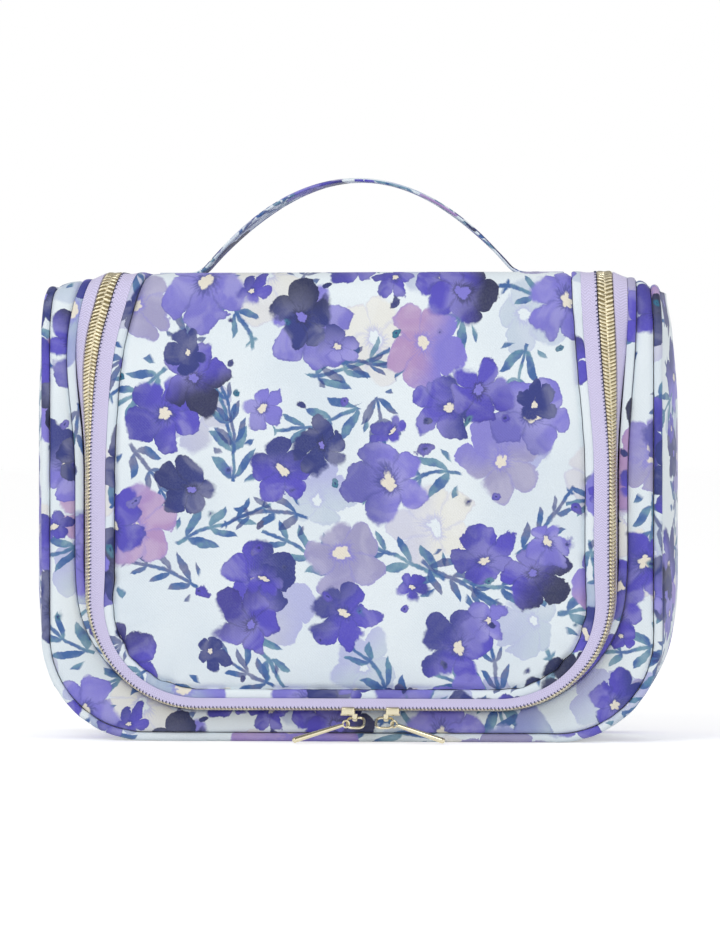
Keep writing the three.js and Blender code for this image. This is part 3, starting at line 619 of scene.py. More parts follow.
def blossom_group():
    """One layer of five-petalled watercolour blossoms with a pale eye, one in each cell of a loose grid."""
    tree, add, given, result = node_group(
        "watercolour blossoms",
        [("Vector", ["Place"]), ("Float", ["Spacing", "Radius", "Filled", "Notch"]),
         ("Color", ["Colour 1", "Colour 2", "Colour 3", "Pool", "Eye"])],
        [("Color", ["Colour"]), ("Float", ["Cover"])])
    place = given["Place"]
    turned, chance, filled = placed_motif(add, given, 0.4, 9.0, 1.7)
    parts = add("SEPARATE_XYZ", turned).node.outputs
    theta = add("ARCTAN2", parts[1], parts[0])
    distance = add("VECTOR_LENGTH", turned)
    swing = add("MULTIPLY", theta, 2.5)
    lobe = add("ABSOLUTE", add("COSINE", swing))
    full = add("POWER", lobe, 0.55)
    petal = add("RANGE", full, 0, 1, given["Notch"], 1.0)
    lean_over = add("RANGE", add("COSINE", theta), -1.0, 1, 0.84, 1.1)
    grown = add("RANGE", chance[1], 0, 1, 0.74, 1.04)
    radius = add("MULTIPLY", given["Radius"], grown)
    outline = add("MULTIPLY", add("MULTIPLY", petal, lean_over), radius)
    inside = add("SUBTRACT", outline, distance)
    share = add("DIVIDE", distance, outline)
    bleed = add("NOISE", place, 0.05, 0.0)
    softness = add("RANGE", bleed, 0.5, 0.72, 0.4, 2.6)
    cover = add("SMOOTH_RANGE", inside, -0.05, softness)
    wash = add("NOISE", place, 0.075, 3.0, 0.6)
    wet = add("SMOOTH_RANGE", wash, 0.34, 0.6)
    first = add("MIX", add("GREATER_THAN", chance[1], 0.4), given["Colour 1"], given["Colour 2"])
    body = add("MIX", add("GREATER_THAN", chance[1], 0.72), first, given["Colour 3"])
    thin = add("MIX", 0.14, body, (1, 1, 1, 1))
    painted = add("MIX", wet, thin, body)
    below = add("SMOOTH_RANGE", parts[0], -3.0, 10.0)
    pooling = add("RANGE", chance[0], 0.3, 0.6, 0.15, 0.95)
    pool_share = add("MULTIPLY", below, pooling)
    pooled = add("MIX", pool_share, painted, given["Pool"])
    rim = add("RANGE", inside, 1.3, 0.1, 0.0, 0.36)
    crease = add("RANGE", lobe, 0.28, 0.0, 0.0, 0.34)
    edge = add("MAXIMUM", rim, crease)
    streak = add("SINE", add("MULTIPLY", theta, 22.0))
    reach = add("MULTIPLY_ADD", streak, 0.07, 0.36)
    throat = add("SMOOTH_RANGE", share, reach, 0.14, 0, 0.75)
    deep = add("MAXIMUM", edge, throat)
    throated = add("MIX", deep, pooled, given["Pool"])
    eye = add("SMOOTH_RANGE", share, 0.19, 0.14)
    colour = add("MIX", eye, throated, given["Eye"])
    grain = add("NOISE", place, 1.4, 2.0)
    strength = add("RANGE", grain, 0.3, 0.7, 0.97, 1.0)
    tree.links.new(colour, result["Colour"])
    covering = add("MULTIPLY", cover, strength)
    tree.links.new(add("MULTIPLY", covering, filled), result["Cover"])
    return tree


def sprig_group():
    """One layer of brushed sprigs: a bowed stem with slanting pairs of broad leaves."""
    tree, add, given, result = node_group(
        "watercolour sprigs",
        [("Vector", ["Place"]), ("Float", ["Spacing", "Length", "Filled", "Leaf step", "Leaf reach"]),
         ("Color", ["Colour 1", "Colour 2"])],
        [("Color", ["Colour"]), ("Float", ["Cover"])])
    place = given["Place"]
    turned, chance, filled = placed_motif(add, given, 0.5, 4.0, 0.9)
    parts = add("SEPARATE_XYZ", turned).node.outputs
    half = add("MULTIPLY", given["Length"], 0.5)
    share = add("DIVIDE", parts[0], half)
    square = add("MULTIPLY", share, share)
    bend = add("RANGE", chance[1], 0, 1, -4.5, 4.5)
    bow = add("MULTIPLY_ADD", square, bend, parts[1])
    apart = add("ABSOLUTE", bow)
    stem = add("RANGE", apart, 0.95, 0.5)
    in_length = add("RANGE", square, 1.0, 0.9)
    stem_cover = add("MULTIPLY", stem, in_length)
    back = add("MULTIPLY_ADD", apart, -1.25, parts[0])
    step = add("DIVIDE", back, given["Leaf step"])
    part = add("SUBTRACT", add("FRACT", step), 0.5)
    middle = add("MULTIPLY", add("ABSOLUTE", part), given["Leaf step"])
    shorten = add("RANGE", share, -0.6, 1.1, 1.0, 0.45)
    taper = add("MULTIPLY", shorten, given["Leaf reach"])
    out = add("DIVIDE", apart, taper)
    belly = add("SINE", add("MULTIPLY", out, math.pi))
    width = add("MULTIPLY", belly, add("MULTIPLY", taper, 0.36))
    depth = add("SUBTRACT", width, middle)
    leaf = add("RANGE", depth, -0.1, 0.4)
    in_reach = add("LESS_THAN", out, 1.0)
    leafy = add("RANGE", square, 0.8, 0.72)
    leaf_cover = add("MULTIPLY", add("MULTIPLY", leaf, in_reach), leafy)
    cover = add("MAXIMUM", stem_cover, leaf_cover)
    wash = add("NOISE", place, 0.13, 3.0)
    mixed = add("SMOOTH_RANGE", wash, 0.4, 0.6)
    colour = add("MIX", mixed, given["Colour 1"], given["Colour 2"])
    vein = add("RANGE", middle, 0.35, 0.1, 0.0, 0.3)
    veined = add("MIX", vein, colour, given["Colour 2"])
    strength = add("RANGE", wash, 0.3, 0.65, 0.72, 1.0)
    tree.links.new(veined, result["Colour"])
    covering = add("MULTIPLY", cover, strength)
    tree.links.new(add("MULTIPLY", covering, filled), result["Cover"])
    return tree


def print_group():
    """The whole print: pale ghosts, sprigs, quiet blossoms, violet ones, small dark ones and berries."""
    tree, add, given, result = node_group("watercolour print", [("Vector", ["Place"])],
                                          [("Color", ["Colour"])])
    paint = colours()
    blossoms, sprigs = blossom_group(), sprig_group()
    mist = add("NOISE", given["Place"], 0.02, 2.0)
    cloth = add("MIX", add("RANGE", mist, 0.4, 0.7, 0, 0.6), solid(paint.ground), solid(linear("d3dfe9")))
    layers = [
        # group, turn, shift, strength, measures (spacing, size, share of cells filled, shape), colours
        (blossoms, 0.5, (13, 71, 0), 0.55, (49, 17, 0.9, 0.7),
         (paint.blue_grey, paint.lilac_grey, paint.cream, paint.periwinkle, paint.ground)),
        (sprigs, 0.2, (40, 9, 0), 1.0, (37, 40, 0.9, 10.5, 9.5), (paint.teal, paint.steel)),
        (sprigs, 1.1, (7, 33, 0), 1.0, (45, 34, 0.75, 9.0, 8.0), (paint.indigo, paint.steel)),
        (blossoms, 0.9, (55, 18, 0), 1.0, (63, 19.5, 0.95, 0.66),
         (paint.lilac_grey, paint.mauve, paint.blue_grey, paint.periwinkle, paint.cream)),
        (blossoms, 0.35, (21, 44, 0), 1.0, (44, 17, 0.88, 0.6),
         (paint.violet, paint.violet, paint.periwinkle, paint.indigo, paint.cream)),
        (blossoms, 1.3, (3, 29, 0), 1.0, (54, 15.5, 0.95, 0.62),
         (paint.indigo, paint.violet, paint.indigo, paint.navy, paint.periwinkle)),
        (blossoms, 0.75, (31, 90, 0), 1.0, (38, 9, 0.55, 0.55),
         (paint.violet, paint.indigo, paint.periwinkle, paint.indigo, paint.cream)),
        (blossoms, 0.1, (70, 52, 0), 1.0, (15, 2.3, 0.3, 0.97),
         (paint.indigo, paint.teal, paint.violet, paint.navy, paint.indigo)),
    ]
    for group, turn, shift, strength, measures, tints in layers:
        place = add("MAPPING", given["Place"], shift, (0, 0, turn))
        layer = add("GROUP", place, *measures, *map(solid, tints), node_tree=group).node.outputs
        cover = add("MULTIPLY", layer["Cover"], strength)
        cloth = add("MIX", cover, cloth, layer["Colour"])
    tree.links.new(cloth, result["Colour"])
    return tree


def surface(name, colour, roughness, make, metallic=0.0, bump_height=0.1, sheen=0.0):
    """A material with one shader. make(add) returns sockets for its colour, roughness and bump."""
    material = bpy.data.materials.new(name)
    material.use_nodes = True
    tree = material.node_tree
    shader = tree.nodes["Principled BSDF"]
    shader.inputs["Base Color"].default_value = solid(colour)
    shader.inputs["Roughness"].default_value = roughness
    shader.inputs["Metallic"].default_value = metallic
    shader.inputs["Sheen Weight"].default_value = sheen
    add = partial(add_node, tree)
    for key, socket in make(add).items():
        if key == "Height":
            socket = add("BUMP", socket, bump_height * MM, 1.0)
            key = "Normal"
        tree.links.new(socket, shader.inputs[key])
    return material


def cloth_place(add, shift=(0, 0, 0), turn=0.0):
    """The piece's own cloth coordinates in millimetres, cut from another place of the bolt."""
    uv = add("CLOTH_UV")
    return add("MAPPING", uv, shift, (0, 0, turn))


def weave_height(add, place, pitch):
    """Height of a plain weave whose threads lie one pitch apart, in millimetres."""
    scale = math.pi / pitch
    scaled = add("VECTOR_MULTIPLY", place, (scale, scale, 0))
    parts = add("SEPARATE_XYZ", scaled)
    warp = add("SINE", parts)
    weft = add("SINE", parts.node.outputs[1])
    return add("MULTIPLY", warp, weft)


PRINT_ROUGHNESS = 0.6
WEAVE_PITCH = 0.55  # real threads lie 0.25 mm apart, drawn coarser so that they show close up


def printed_cloth(name, shift, turn=0.0, relief=0.02):
    """Coated cotton, digitally printed and calendered: smooth, with a soft sheen and a fine weave."""
    def make(add):
        place = cloth_place(add, shift, turn)
        group = add("GROUP", place, node_tree=bpy.data.node_groups["watercolour print"])
        height = weave_height(add, place, WEAVE_PITCH)
        fibre = add("NOISE", place, 2.5, 2.0)
        shade = add("RANGE", fibre, 0.3, 0.7, 0.955, 1.02)
        tint = add("COMBINE_COLOUR", shade, shade, shade)
        colour = add("TINT", 1.0, group, tint)
        rough = add("RANGE", fibre, 0, 1, PRINT_ROUGHNESS - 0.06, PRINT_ROUGHNESS + 0.06)
        return {"Base Color": colour, "Roughness": rough, "Height": height}
    return surface(name, colours().ground, PRINT_ROUGHNESS, make, bump_height=relief, sheen=0.12)


TAPE_RIB = 1.0  # real ribs lie 0.5 mm apart, drawn coarser so that they show


def herringbone_tape():
    """Woven polyester zip tape: fine chevron ribs across the tape, painted darker in the low part of each rib
    as shade, softly shining.
    """
    def make(add):
        place = cloth_place(add)
        parts = add("SEPARATE_XYZ", place)
        column = add("PINGPONG", parts.node.outputs[1], 1.3)
        slant = add("ADD", parts, column)
        turns = add("MULTIPLY", slant, 2 * math.pi / TAPE_RIB)
        rib = add("SINE", turns)
        share = add("RANGE", rib, -1.0, 1, 0.0, 1.0)
        # Base colour darkened where each rib is low: painted shade in the rib grooves.
        return {"Base Color": add("MIX", share, solid(colours().tape, 0.76), solid(colours().tape)),
                "Height": share}
    return surface("herringbone_tape_painted_rib_shade", colours().tape, 0.62, make, bump_height=0.08, sheen=0.2)


def coil_metal():
    """Nylon coil with a vapour-deposited pale gold layer: bright, a little uneven from turn to turn."""
    def make(add):
        place = add("OBJECT_PLACE")
        tone = add("NOISE_3D", place, 420.0, 1.0)
        share = add("RANGE", tone, 0.35, 0.65)
        return {"Base Color": add("MIX", share, solid(colours().teeth, 0.8), solid(colours().teeth)),
                "Roughness": add("RANGE", tone, 0, 1, 0.24, 0.36)}
    return surface("metallised_nylon_coil", colours().teeth, 0.3, make, metallic=0.7)


def plated_metal():
    """Die-cast zinc, polished and plated pale gold: mirror-like with faint hairlines."""
    def make(add):
        place = add("OBJECT_PLACE")
        stretched = add("VECTOR_MULTIPLY", place, (0.2, 1, 1))
        line = add("NOISE_3D", stretched, 3000.0, 2.0)
        cloud = add("NOISE_3D", place, 250.0, 1.0)
        return {"Base Color": add("MIX", cloud, solid(colours().metal, 0.9), solid(colours().metal)),
                "Roughness": add("RANGE", cloud, 0, 1, 0.16, 0.26), "Height": line}
    return surface("plated_pale_gold", colours().metal, 0.2, make, metallic=1.0, bump_height=0.003)


def woven(name, colour, roughness, pitch, height, sheen=0.15):
    """A plain woven or knitted cloth in one colour, each thread lit and shaded by its height."""
    def make(add):
        place = cloth_place(add)
        rise = weave_height(add, place, pitch)
        blotch = add("NOISE", place, 0.3, 3.0)
        uneven = add("MULTIPLY_ADD", rise, 0.35, blotch)
        share = add("RANGE", uneven, 0.1, 0.9)
        return {"Base Color": add("MIX", share, solid(colour, 0.84), solid(colour)), "Height": rise}
    return surface(name, colour, roughness, make, bump_height=height, sheen=sheen)


def foam_board():
    """Closed-cell EVA foam sheet: matt, with fine open bubbles at the cut skin, painted grey in their pits as
    shade.
    """
    def make(add):
        place = add("OBJECT_PLACE")
        cells = add("CELLS", place, 1600.0)
        # The grey is painted shade in the bubbles' pits, where the height is low.
        pale, grey = solid(linear("f0efe9")), solid(linear("d8d6cc"))
        return {"Base Color": add("MIX", cells, grey, pale), "Height": cells}
    return surface("eva_foam_painted_pit_shade", linear("f0efe9"), 0.85, make)


MATERIALS = {}


class BAG_OT_materials(bpy.types.Operator):
    """Makes every material of the bag"""

    bl_idname = "bag.materials"
    bl_label = "Materials"

    def execute(self, context):
        paint = colours()
        print_group()
        MATERIALS.update(
            lid_cloth=printed_cloth("printed_cloth_lid", (0, 0, 0)),
            border_cloth=printed_cloth("printed_cloth_border", (47, 163, 0)),
            gusset_cloth=printed_cloth("printed_cloth_gusset", (231, 77, 0), 0.3),
            back_cloth=printed_cloth("printed_cloth_back", (410, 36, 0)),
            binding_cloth=printed_cloth("printed_cloth_binding", (530, 214, 0), 1.57),
            outer_cloth=printed_cloth("printed_cloth_outer_binding", (120, 388, 0), 1.57),
            piping_cloth=printed_cloth("printed_cloth_piping", (655, 95, 0), 0.4),
            strap_cloth=printed_cloth("printed_cloth_strap", (318, 290, 0), relief=0.005),
            tape=herringbone_tape(),
            coil=coil_metal(),
            metal=plated_metal(),
            # Filler cord in dark olive: a real cord, its colour partly painted shade in the gaps between the
            # coil's turns.
            core=woven("filler_cord_and_painted_gap_shade", linear("84764f"), 0.7, 0.4, 0.05),
            # Dark navy thread of the coil's stitches, partly painted shadow beside the coil's turns.
            thread=woven("dark_thread_and_coil_shadow", linear("3a3f66"), 0.6, 0.3, 0.05),
            pale_thread=woven("polyester_thread_pale", linear("a7a4d4"), 0.6, 0.3, 0.05),
            lining=woven("polyester_taffeta_lining", paint.lining, 0.5, 0.5, 0.03, 0.2),
            pocket_cloth=woven("polyester_taffeta_pocket", tuple(c * 0.93 for c in paint.lining), 0.5, 0.5,
                               0.03, 0.2),
            net=woven("knitted_polyester_net", paint.net, 0.6, 0.4, 0.05),
            elastic=woven("ribbed_elastic_tape", paint.tape, 0.65, 0.9, 0.12),
            webbing=woven("polypropylene_webbing", paint.webbing, 0.6, 1.1, 0.2),
            foam=foam_board(),
        )
        return {"FINISHED"}


# The lid's cloth

def lid_rows(first, last, count, columns):
    """A grid of cloth points inside the zip between two lengths along it, and the lid's lift there."""
    s = np.linspace(first, last, count)
    ends = []
    for side in (-1, 1):
        station = Station(side * s)
        edge = panel_edge(station)
        ends.append((station.x + edge * station.bx, station.v + edge * station.bv,
                     along(LID_LIFT, station.v)))
    share = (columns_across(columns) + 1) / 2
    return tuple(left + (right - left) * share for left, right in zip(*ends))


def seam_distance(x, v):
    """Distance of each cloth point from the lid's seam, and the length along the seam there."""
    station = Station(np.linspace(-S_END - 40, S_END + 40, 520))
    edge = panel_edge(station)
    line = np.concatenate([station.x + edge * station.bx, station.v + edge * station.bv], axis=1)
    start, run = line[:-1], np.diff(line, axis=0)
    points = pack(x.ravel(), v.ravel())
    best = np.full(len(points), np.inf)
    where = np.zeros(len(points))
    lengths = line_length(line)
    for i in range(len(run)):
        offset = points - start[i]
        share = np.clip(offset @ run[i] / (run[i] @ run[i]), 0, 1)
        gap = np.linalg.norm(offset - share[:, None] * run[i], axis=1)
        closer = gap < best
        best[closer] = gap[closer]
        where[closer] = lengths[i] + share[closer] * np.linalg.norm(run[i])
    return best.reshape(x.shape), where.reshape(x.shape)


def columns_across(count):
    """Shares from -1 to 1 that lie closer together at both edges."""
    return np.sin(np.linspace(-math.pi / 2, math.pi / 2, count))


def unevenness(x, v):
    """Broad, shallow waves of cloth over foam."""
    return (np.sin(x / 23 + 0.7) * np.sin(v / 31 + 0.4) + 0.6 * np.sin((x + v) / 17 + 2)) / 1.6


SWELL_REACH, GROOVE_REACH, PUCKER_REACH, WAVE_REACH = 7, 1.3, 5, 12  # from the lid's seam inwards
FLATTER_OVER_TOP = (0.3, 1.0, 1.0)
WAVE_HEIGHT = 0.4


def lid_sheet(name, first, last, count, crown, thick, outer=0.0, columns=110):
    """A layer of the lid between two lengths along the zip, swelling away from its seam."""
    x, v, lift = lid_rows(first, last, count, columns)
    distance, where = seam_distance(x, v)
    low_corner = 1 - smooth(v, ZIP_CORNER_V, ZIP_CORNER_V + 30)
    swell = swelling(distance, crown, SWELL_REACH) * along(FLATTER_OVER_TOP, v)
    flat = along(FLATTER_OVER_TOP, v) * swelling(distance, 1, WAVE_REACH)
    n = lift - outer + swell + WAVE_HEIGHT * unevenness(x, v) * flat
    if outer == 0.0:
        n = n - groove(distance, sizes().seam_sink / MM, GROOVE_REACH)
        n = n + creases(distance, where, sizes().pucker / MM, PUCKER_REACH) * (0.3 + low_corner)
    sewn = smooth(v, TOP_END - 2, BACK_START + 2)
    n = n * (1 - sewn) + (0.8 - outer) * sewn
    return sheet(name, wrap(x, v, n), pack(x, v), thick)


LINING_CROWN = 0.5


class BAG_OT_lid_cloth(bpy.types.Operator):
    """Makes the printed cloth of the lid, which folds over the top, and the linings under it"""

    bl_idname = "bag.lid_cloth"
    bl_label = "Lid cloth and lining"

    def execute(self, context):
        crown = sizes().lid_crown / MM
        front = lid_sheet("lid_cloth", CORNER_S, S_MIDDLE, 150, crown, CLOTH_THICK)
        place(front, "lid_cloth", FRONT_BEND, "front_panel")
        top = lid_sheet("top_cloth", S_MIDDLE, s_at(BACK_START + 5), 70, crown, CLOTH_THICK)
        place(top, "lid_cloth", REAR_BEND, "top_panel")
        lining = lid_sheet("lid_lining_cloth", CORNER_S, S_MIDDLE, 90, LINING_CROWN, LINING_THICK,
                           LINING_OUTER, 60)
        place(lining, "lining", FRONT_BEND, "lid_lining")
        top_lining = lid_sheet("top_lining_cloth", S_MIDDLE - 3, s_at(BACK_START + 8), 42, LINING_CROWN,
                               LINING_THICK, LINING_OUTER - 0.25, 60)
        place(top_lining, "lining", REAR_BEND, "top_lining")
        return {"FINISHED"}


# Strips round the zip

TAPE_TUCK = 0.6  # how far a tape goes in under its binding
BINDING_SHARES = np.array([0, 0, 0.05, 0.16, 0.33, 0.5, 0.67, 0.84, 0.95, 1, 1])
BINDING_RISE_SHARES = np.array([0, 0.5, 0.78, 0.93, 1, 1.02, 1, 0.93, 0.78, 0.5, 0])


def strip(name, s, profile, angle=50.0):
    """A closed strip along the zip; profile(station) gives its section as points."""
    station = Station(s)
    rings = profile(station)
    return tube(name, rings, station.s, angle)


def lid_binding_profile(station):
    high = tape_ends(station)[2] - CLEARANCE
    top = lifted(LID_LIFT, station.v) + BINDING_THICK / 2
    base = top - BINDING_THICK / 2 - LINING_OUTER - LINING_THICK - CLEARANCE
    base = np.where(station.v > FOLD_START - 4, np.maximum(base, top - 3.2), base)
    uneven = 0.12 * ripple(station.s * 0.8)
    b = high - (BINDING_WIDTH - seam_wobble(station)) * (1 - BINDING_SHARES)
    return across(station, b, base + (top + uneven - base) * (0.55 + 0.45 * BINDING_RISE_SHARES)
                  * (BINDING_RISE_SHARES > 0))


def tape_profile(station):
    start_b, start_n, end_b, end_n = tape_ends(station)
    share = np.linspace(0, 1, 8)
    half = TAPE_THICK / 2
    sag = -0.35 * np.sin(np.pi * share)
    b = start_b + (end_b - TAPE_TUCK - start_b) * share
    n = start_n + (end_n - start_n) * share + sag
    return across(station, np.concatenate([b, b[:, ::-1]], axis=1),
                  np.concatenate([n + half, (n - half)[:, ::-1]], axis=1))


def outer_tape_profile(station):
    axis_b, axis_n, lift = chain_axis(station)
    turn = np.radians(along(OUTER_TAPE_TURN, station.v))
    start_b, start_n = -TAPE_START * axis_b, lift - TAPE_START * axis_n
    length = along(OUTER_TAPE_SHOW, station.v) + TAPE_TUCK
    distance = length * np.array([0, 0.33, 0.67, 1, 1, 0.67, 0.33, 0])
    rise = TAPE_THICK / 2 * np.array([1, 1, 1, 1, -1, -1, -1, -1])
    return across(station, start_b + distance * np.cos(turn) + rise * np.sin(turn),
                  start_n - distance * np.sin(turn) + rise * np.cos(turn))


def outer_binding_profile(station):
    low = along(OUTER_BINDING_START, station.v)
    top = along(OUTER_BINDING_LIFT, station.v)
    uneven = 0.1 * ripple(station.s * 0.7 + 5)
    return across(station, low + OUTER_BINDING_WIDTH * BINDING_SHARES,
                  top - OUTER_BINDING_THICK + (OUTER_BINDING_THICK + uneven) * BINDING_RISE_SHARES)


BORDER_SHARES = np.array([0, 0.04, 0.1, 0.2, 0.35, 0.5, 0.65, 0.8, 0.9, 0.96, 1])


def border_start(station):
    return along(OUTER_BINDING_START, station.v) + OUTER_BINDING_WIDTH + CLEARANCE


def border_profile(station):
    """The body's cloth between its binding and the piping, dipping at both seams."""
    inner, share = border_start(station), BORDER_SHARES
    low, high = across(station, inner, 0), on_rim(station, RIM_INSET, 0)
    middle = low[..., 0:1, :] + (high[..., 0:1, :] - low[..., 0:1, :]) * share[:, None]
    under_low, under_high = across(station, inner, -CLOTH_THICK), on_rim(station, RIM_INSET, -CLOTH_THICK)
    out = (low - under_low)[:, 0:1, :] / CLOTH_THICK
    width = np.linalg.norm(high - low, axis=2)
    distance = np.minimum(share * width, (1 - share) * width)
    swell = swelling(distance, 0.9, 3) - groove(distance, 0.8, 0.9)
    swell = swell + creases(distance, station.s * 0.6 + 2, 0.25, 4)
    top = middle + out * swell[:, :, None]
    under = (under_low + (under_high - under_low) * share[:, None])[:, ::-1]
    return np.concatenate([top, under], axis=1)


def border_lining_profile(station):
    """The lining behind the border, from the body's binding to the lining of the gusset."""
    inner = along(OUTER_BINDING_START, station.v) + 0.4
    share = np.array([0, 0.2, 0.4, 0.6, 0.8, 1])[:, None]
    low, deeper = across(station, inner, -CLOTH_THICK - 0.5), across(station, inner, -CLOTH_THICK - 1.1)
    high = on_rim(station, LINING_OUTER + 0.3, -(WALL_DEPTH - LINING_THICK) + 0.3)
    top = low + (high - low) * share
    return np.concatenate([top, (top + deeper - low)[:, ::-1]], axis=1)


def piping_profile(station):
    angle = circle(16)
    uneven = 1 + 0.03 * ripple(station.s * 1.1)
    shift = (0.04 + 0.22 * near_corner(station)) * ripple(station.s * 0.8 + 9)
    return on_rim(station, PIPING_RADIUS + PIPING_RADIUS * uneven * np.cos(angle) + np.maximum(shift, -0.05),
                  -PIPING_SINK + PIPING_RADIUS * uneven * np.sin(angle))


class BAG_OT_strips(bpy.types.Operator):
    """Makes the binding and tape of both halves of the zip, the border and the front piping"""

    bl_idname = "bag.strips"
    bl_label = "Bindings, tapes, border and piping"

    def execute(self, context):
        front = np.linspace(-S_MIDDLE, S_MIDDLE, 460)
        body = np.linspace(-S_END, S_END, 520)
        rolled = s_at(BACK_START)
        strips = [
            ("lid_binding_cloth", front, lid_binding_profile, "binding_cloth", FRONT_BEND, "lid_binding"),
            ("lid_tape", front, tape_profile, "tape", FRONT_BEND, "lid_zip_tape")]
        for side, word in SIDES:
            top = side * np.linspace(S_MIDDLE, s_at(BACK_START + 4), 60)
            strips += [
                (f"top_binding_cloth_{word}", top, lid_binding_profile, "binding_cloth", REAR_BEND,
                 f"top_binding_{word}"),
                (f"top_tape_{word}", top, tape_profile, "tape", REAR_BEND, f"top_zip_tape_{word}")]
        strips += [
            ("body_tape", body, outer_tape_profile, "tape", "bag_body", "body_zip_tape"),
            ("body_binding_cloth", body, outer_binding_profile, "outer_cloth", "bag_body", "body_binding")]
        for name, s, profile, *placing in strips:
            place(strip(name, s, profile), *placing)
        station = Station(body)
        border = tube("border_cloth", border_profile(station), self.border_uv(station), 60)
        place(border, "border_cloth", "bag_body", "front_border")
        piping = strip("front_piping_cloth", np.linspace(-rolled, rolled, 560), piping_profile, 60)
        place(piping, "piping_cloth", "bag_body", "front_piping")
        return {"FINISHED"}

    def border_uv(self, station):
        """Straight cloth coordinates of the border: x across and v up and over the top."""
        inner, share = border_start(station), BORDER_SHARES
        x = station.x + inner * station.bx
        v = station.v + inner * station.bv
        rim_x = station.rim_x - RIM_INSET * station.bx
        rim_v = station.rim_v - RIM_INSET * station.bv
        top = pack(x + (rim_x - x) * share, v + (rim_v - v) * share)
        return np.concatenate([top, top[:, ::-1], top[:, :1]], axis=1)


# The coil

TURN_LEAN = 0.75  # how far each turn slants along the zip, in pitches
TURN_MIDDLE = 1.5  # from the zip's middle to the middle of a turn
CORE_HALF_WIDTH, CORE_HALF_HEIGHT = 1.25, 0.3
STEP = 0.3  # to both sides of a place, to find its direction along the zip

# One turn of the coil, from its sewn foot to its head: distance from the zip's middle, rise, half
# width along the zip and half height, in millimetres for a pitch of 1
TURN_SECTIONS = ((3.0, -0.24, 0.21, 0.26), (2.75, 0.1, 0.34, 0.42), (2.0, 0.33, 0.37, 0.46),
                 (1.1, 0.28, 0.36, 0.45), (0.3, 0.14, 0.37, 0.46), (-0.25, 0.0, 0.4, 0.5),
                 (-0.5, -0.1, 0.22, 0.28))
STITCH_INSET = 0.15  # from the tape's edge
STITCH_SECTIONS = ((-0.5, 0, 0.1, 0.1), (-0.26, 0, 0.26, 0.26), (0.26, 0, 0.26, 0.26), (0.5, 0, 0.1, 0.1))


def drawn_rod(sections, sides):
    """A rod drawn out of a circle section by section, along x: its points in millimetres and its faces."""
    x, z, width, height = (value * MM for value in sections[0])
    bpy.ops.mesh.primitive_circle_add(vertices=sides, radius=1.0, fill_type="NGON",
                                      location=(x, 0, z), rotation=(0, math.pi / 2, 0))
    obj = bpy.context.object
    edit_all()
    bpy.ops.transform.resize(value=(1, width, height), center_override=(x, 0, z))
    for section in sections[1:]:
        next_x, next_z, next_width, next_height = (value * MM for value in section)
        bpy.ops.mesh.extrude_region_move(TRANSFORM_OT_translate={"value": (next_x - x, 0, next_z - z)})
        bpy.ops.transform.resize(value=(1, next_width / width, next_height / height),
                                 center_override=(next_x, 0, next_z))
        x, z, width, height = next_x, next_z, next_width, next_height
    bpy.ops.object.mode_set(mode="OBJECT")
    bpy.ops.object.transform_apply(location=True, rotation=True, scale=True)
    points = np.array([v.co[:] for v in obj.data.vertices]) / MM
    faces = [tuple(face.vertices) for face in obj.data.polygons]
    bpy.data.objects.remove(obj)
    return points, faces


def repeat(name, pattern, origins, axes):
    """Copies one modelled shape to many places; axes holds what its x, y and z become at each place."""
    points, faces = pattern
    copies = origins[:, None] + np.einsum("pk,nki->npi", points, axes)
    count = len(points)
    all_faces = [tuple(i * count + k for k in face) for i in range(len(origins)) for face in faces]
    return new_object(name, copies, all_faces, np.zeros((copies.size // 3, 2)), 60.0)


def along_zip(s, b, n):
    """Directions along the zip at places of its cross-section."""
    ahead, behind = (across(Station(s + step), b, n)[:, 0] for step in (STEP, -STEP))
    return unit(ahead - behind)


def teeth(name, first, last, side, where, node):
    """One row of coil turns between two lengths along the zip. side is 1 on the lid, -1 on the body."""
    pitch = sizes().tooth_pitch / MM
    low, high = min(first, last), max(first, last)
    index = np.arange(math.ceil(low / pitch), math.floor(high / pitch) + 1)
    s = (index + (0.0 if side > 0 else 0.5)) * pitch
    s = s[(s > low + STEP) & (s < high - STEP)]
    turn = drawn_rod(TURN_SECTIONS, 6)
    lean_along = TURN_LEAN * pitch * (turn[0][:, :1] / 3.0 - 0.5)
    turn[0][:, 1:2] = turn[0][:, 1:2] * pitch + lean_along
    station = Station(s)
    axis_b, axis_n, lift = chain_axis(station)
    origin = across(station, 0, lift)[:, 0]
    outward = across(station, side * axis_b, lift + side * axis_n)[:, 0] - origin
    rise = across(station, axis_n, lift - axis_b)[:, 0] - origin
    run = along_zip(s, TURN_MIDDLE * side * axis_b, lift)
    obj = repeat(name, turn, origin, np.stack([unit(outward), run, unit(rise)], axis=1))
    place(obj, "coil", where, node)


def coil_core_profile(side):
    """The filler cord inside the coil, which shows between its turns; its dark olive colour is partly painted
    shade between the turns.
    """
    angle = circle(10)

    def profile(station):
        axis_b, axis_n, lift = chain_axis(station)
        d = TURN_MIDDLE + CORE_HALF_WIDTH * np.cos(angle)
        rise = CORE_HALF_HEIGHT * np.sin(angle)
        return across(station, side * d * axis_b + rise * axis_n, lift + side * d * axis_n - rise * axis_b)
    return profile


def stitches_and_coil_shadow(name, s, bend):
    """Small dark stitches that hold a coil on its tape, one for each turn; their dark colour also stands in
    as painted shadow beside the turns.
    """
    station = Station(s)
    start_b, start_n, end_b, end_n = tape_ends(station)
    run_b, run_n = end_b - start_b, end_n - start_n
    size = np.hypot(run_b, run_n)
    b = start_b + STITCH_INSET * run_b / size
    n = start_n + STITCH_INSET * run_n / size + TAPE_THICK / 2
    origin = across(station, b, n)[:, 0]
    run = along_zip(s, b, n)
    up = unit(across(station, b, n + 1)[:, 0] - origin)
    axes = np.stack([np.cross(run, up), run, up], axis=1)
    stitch = repeat(name, drawn_rod(STITCH_SECTIONS, 5), origin, axes)
    place(stitch, "thread", bend)


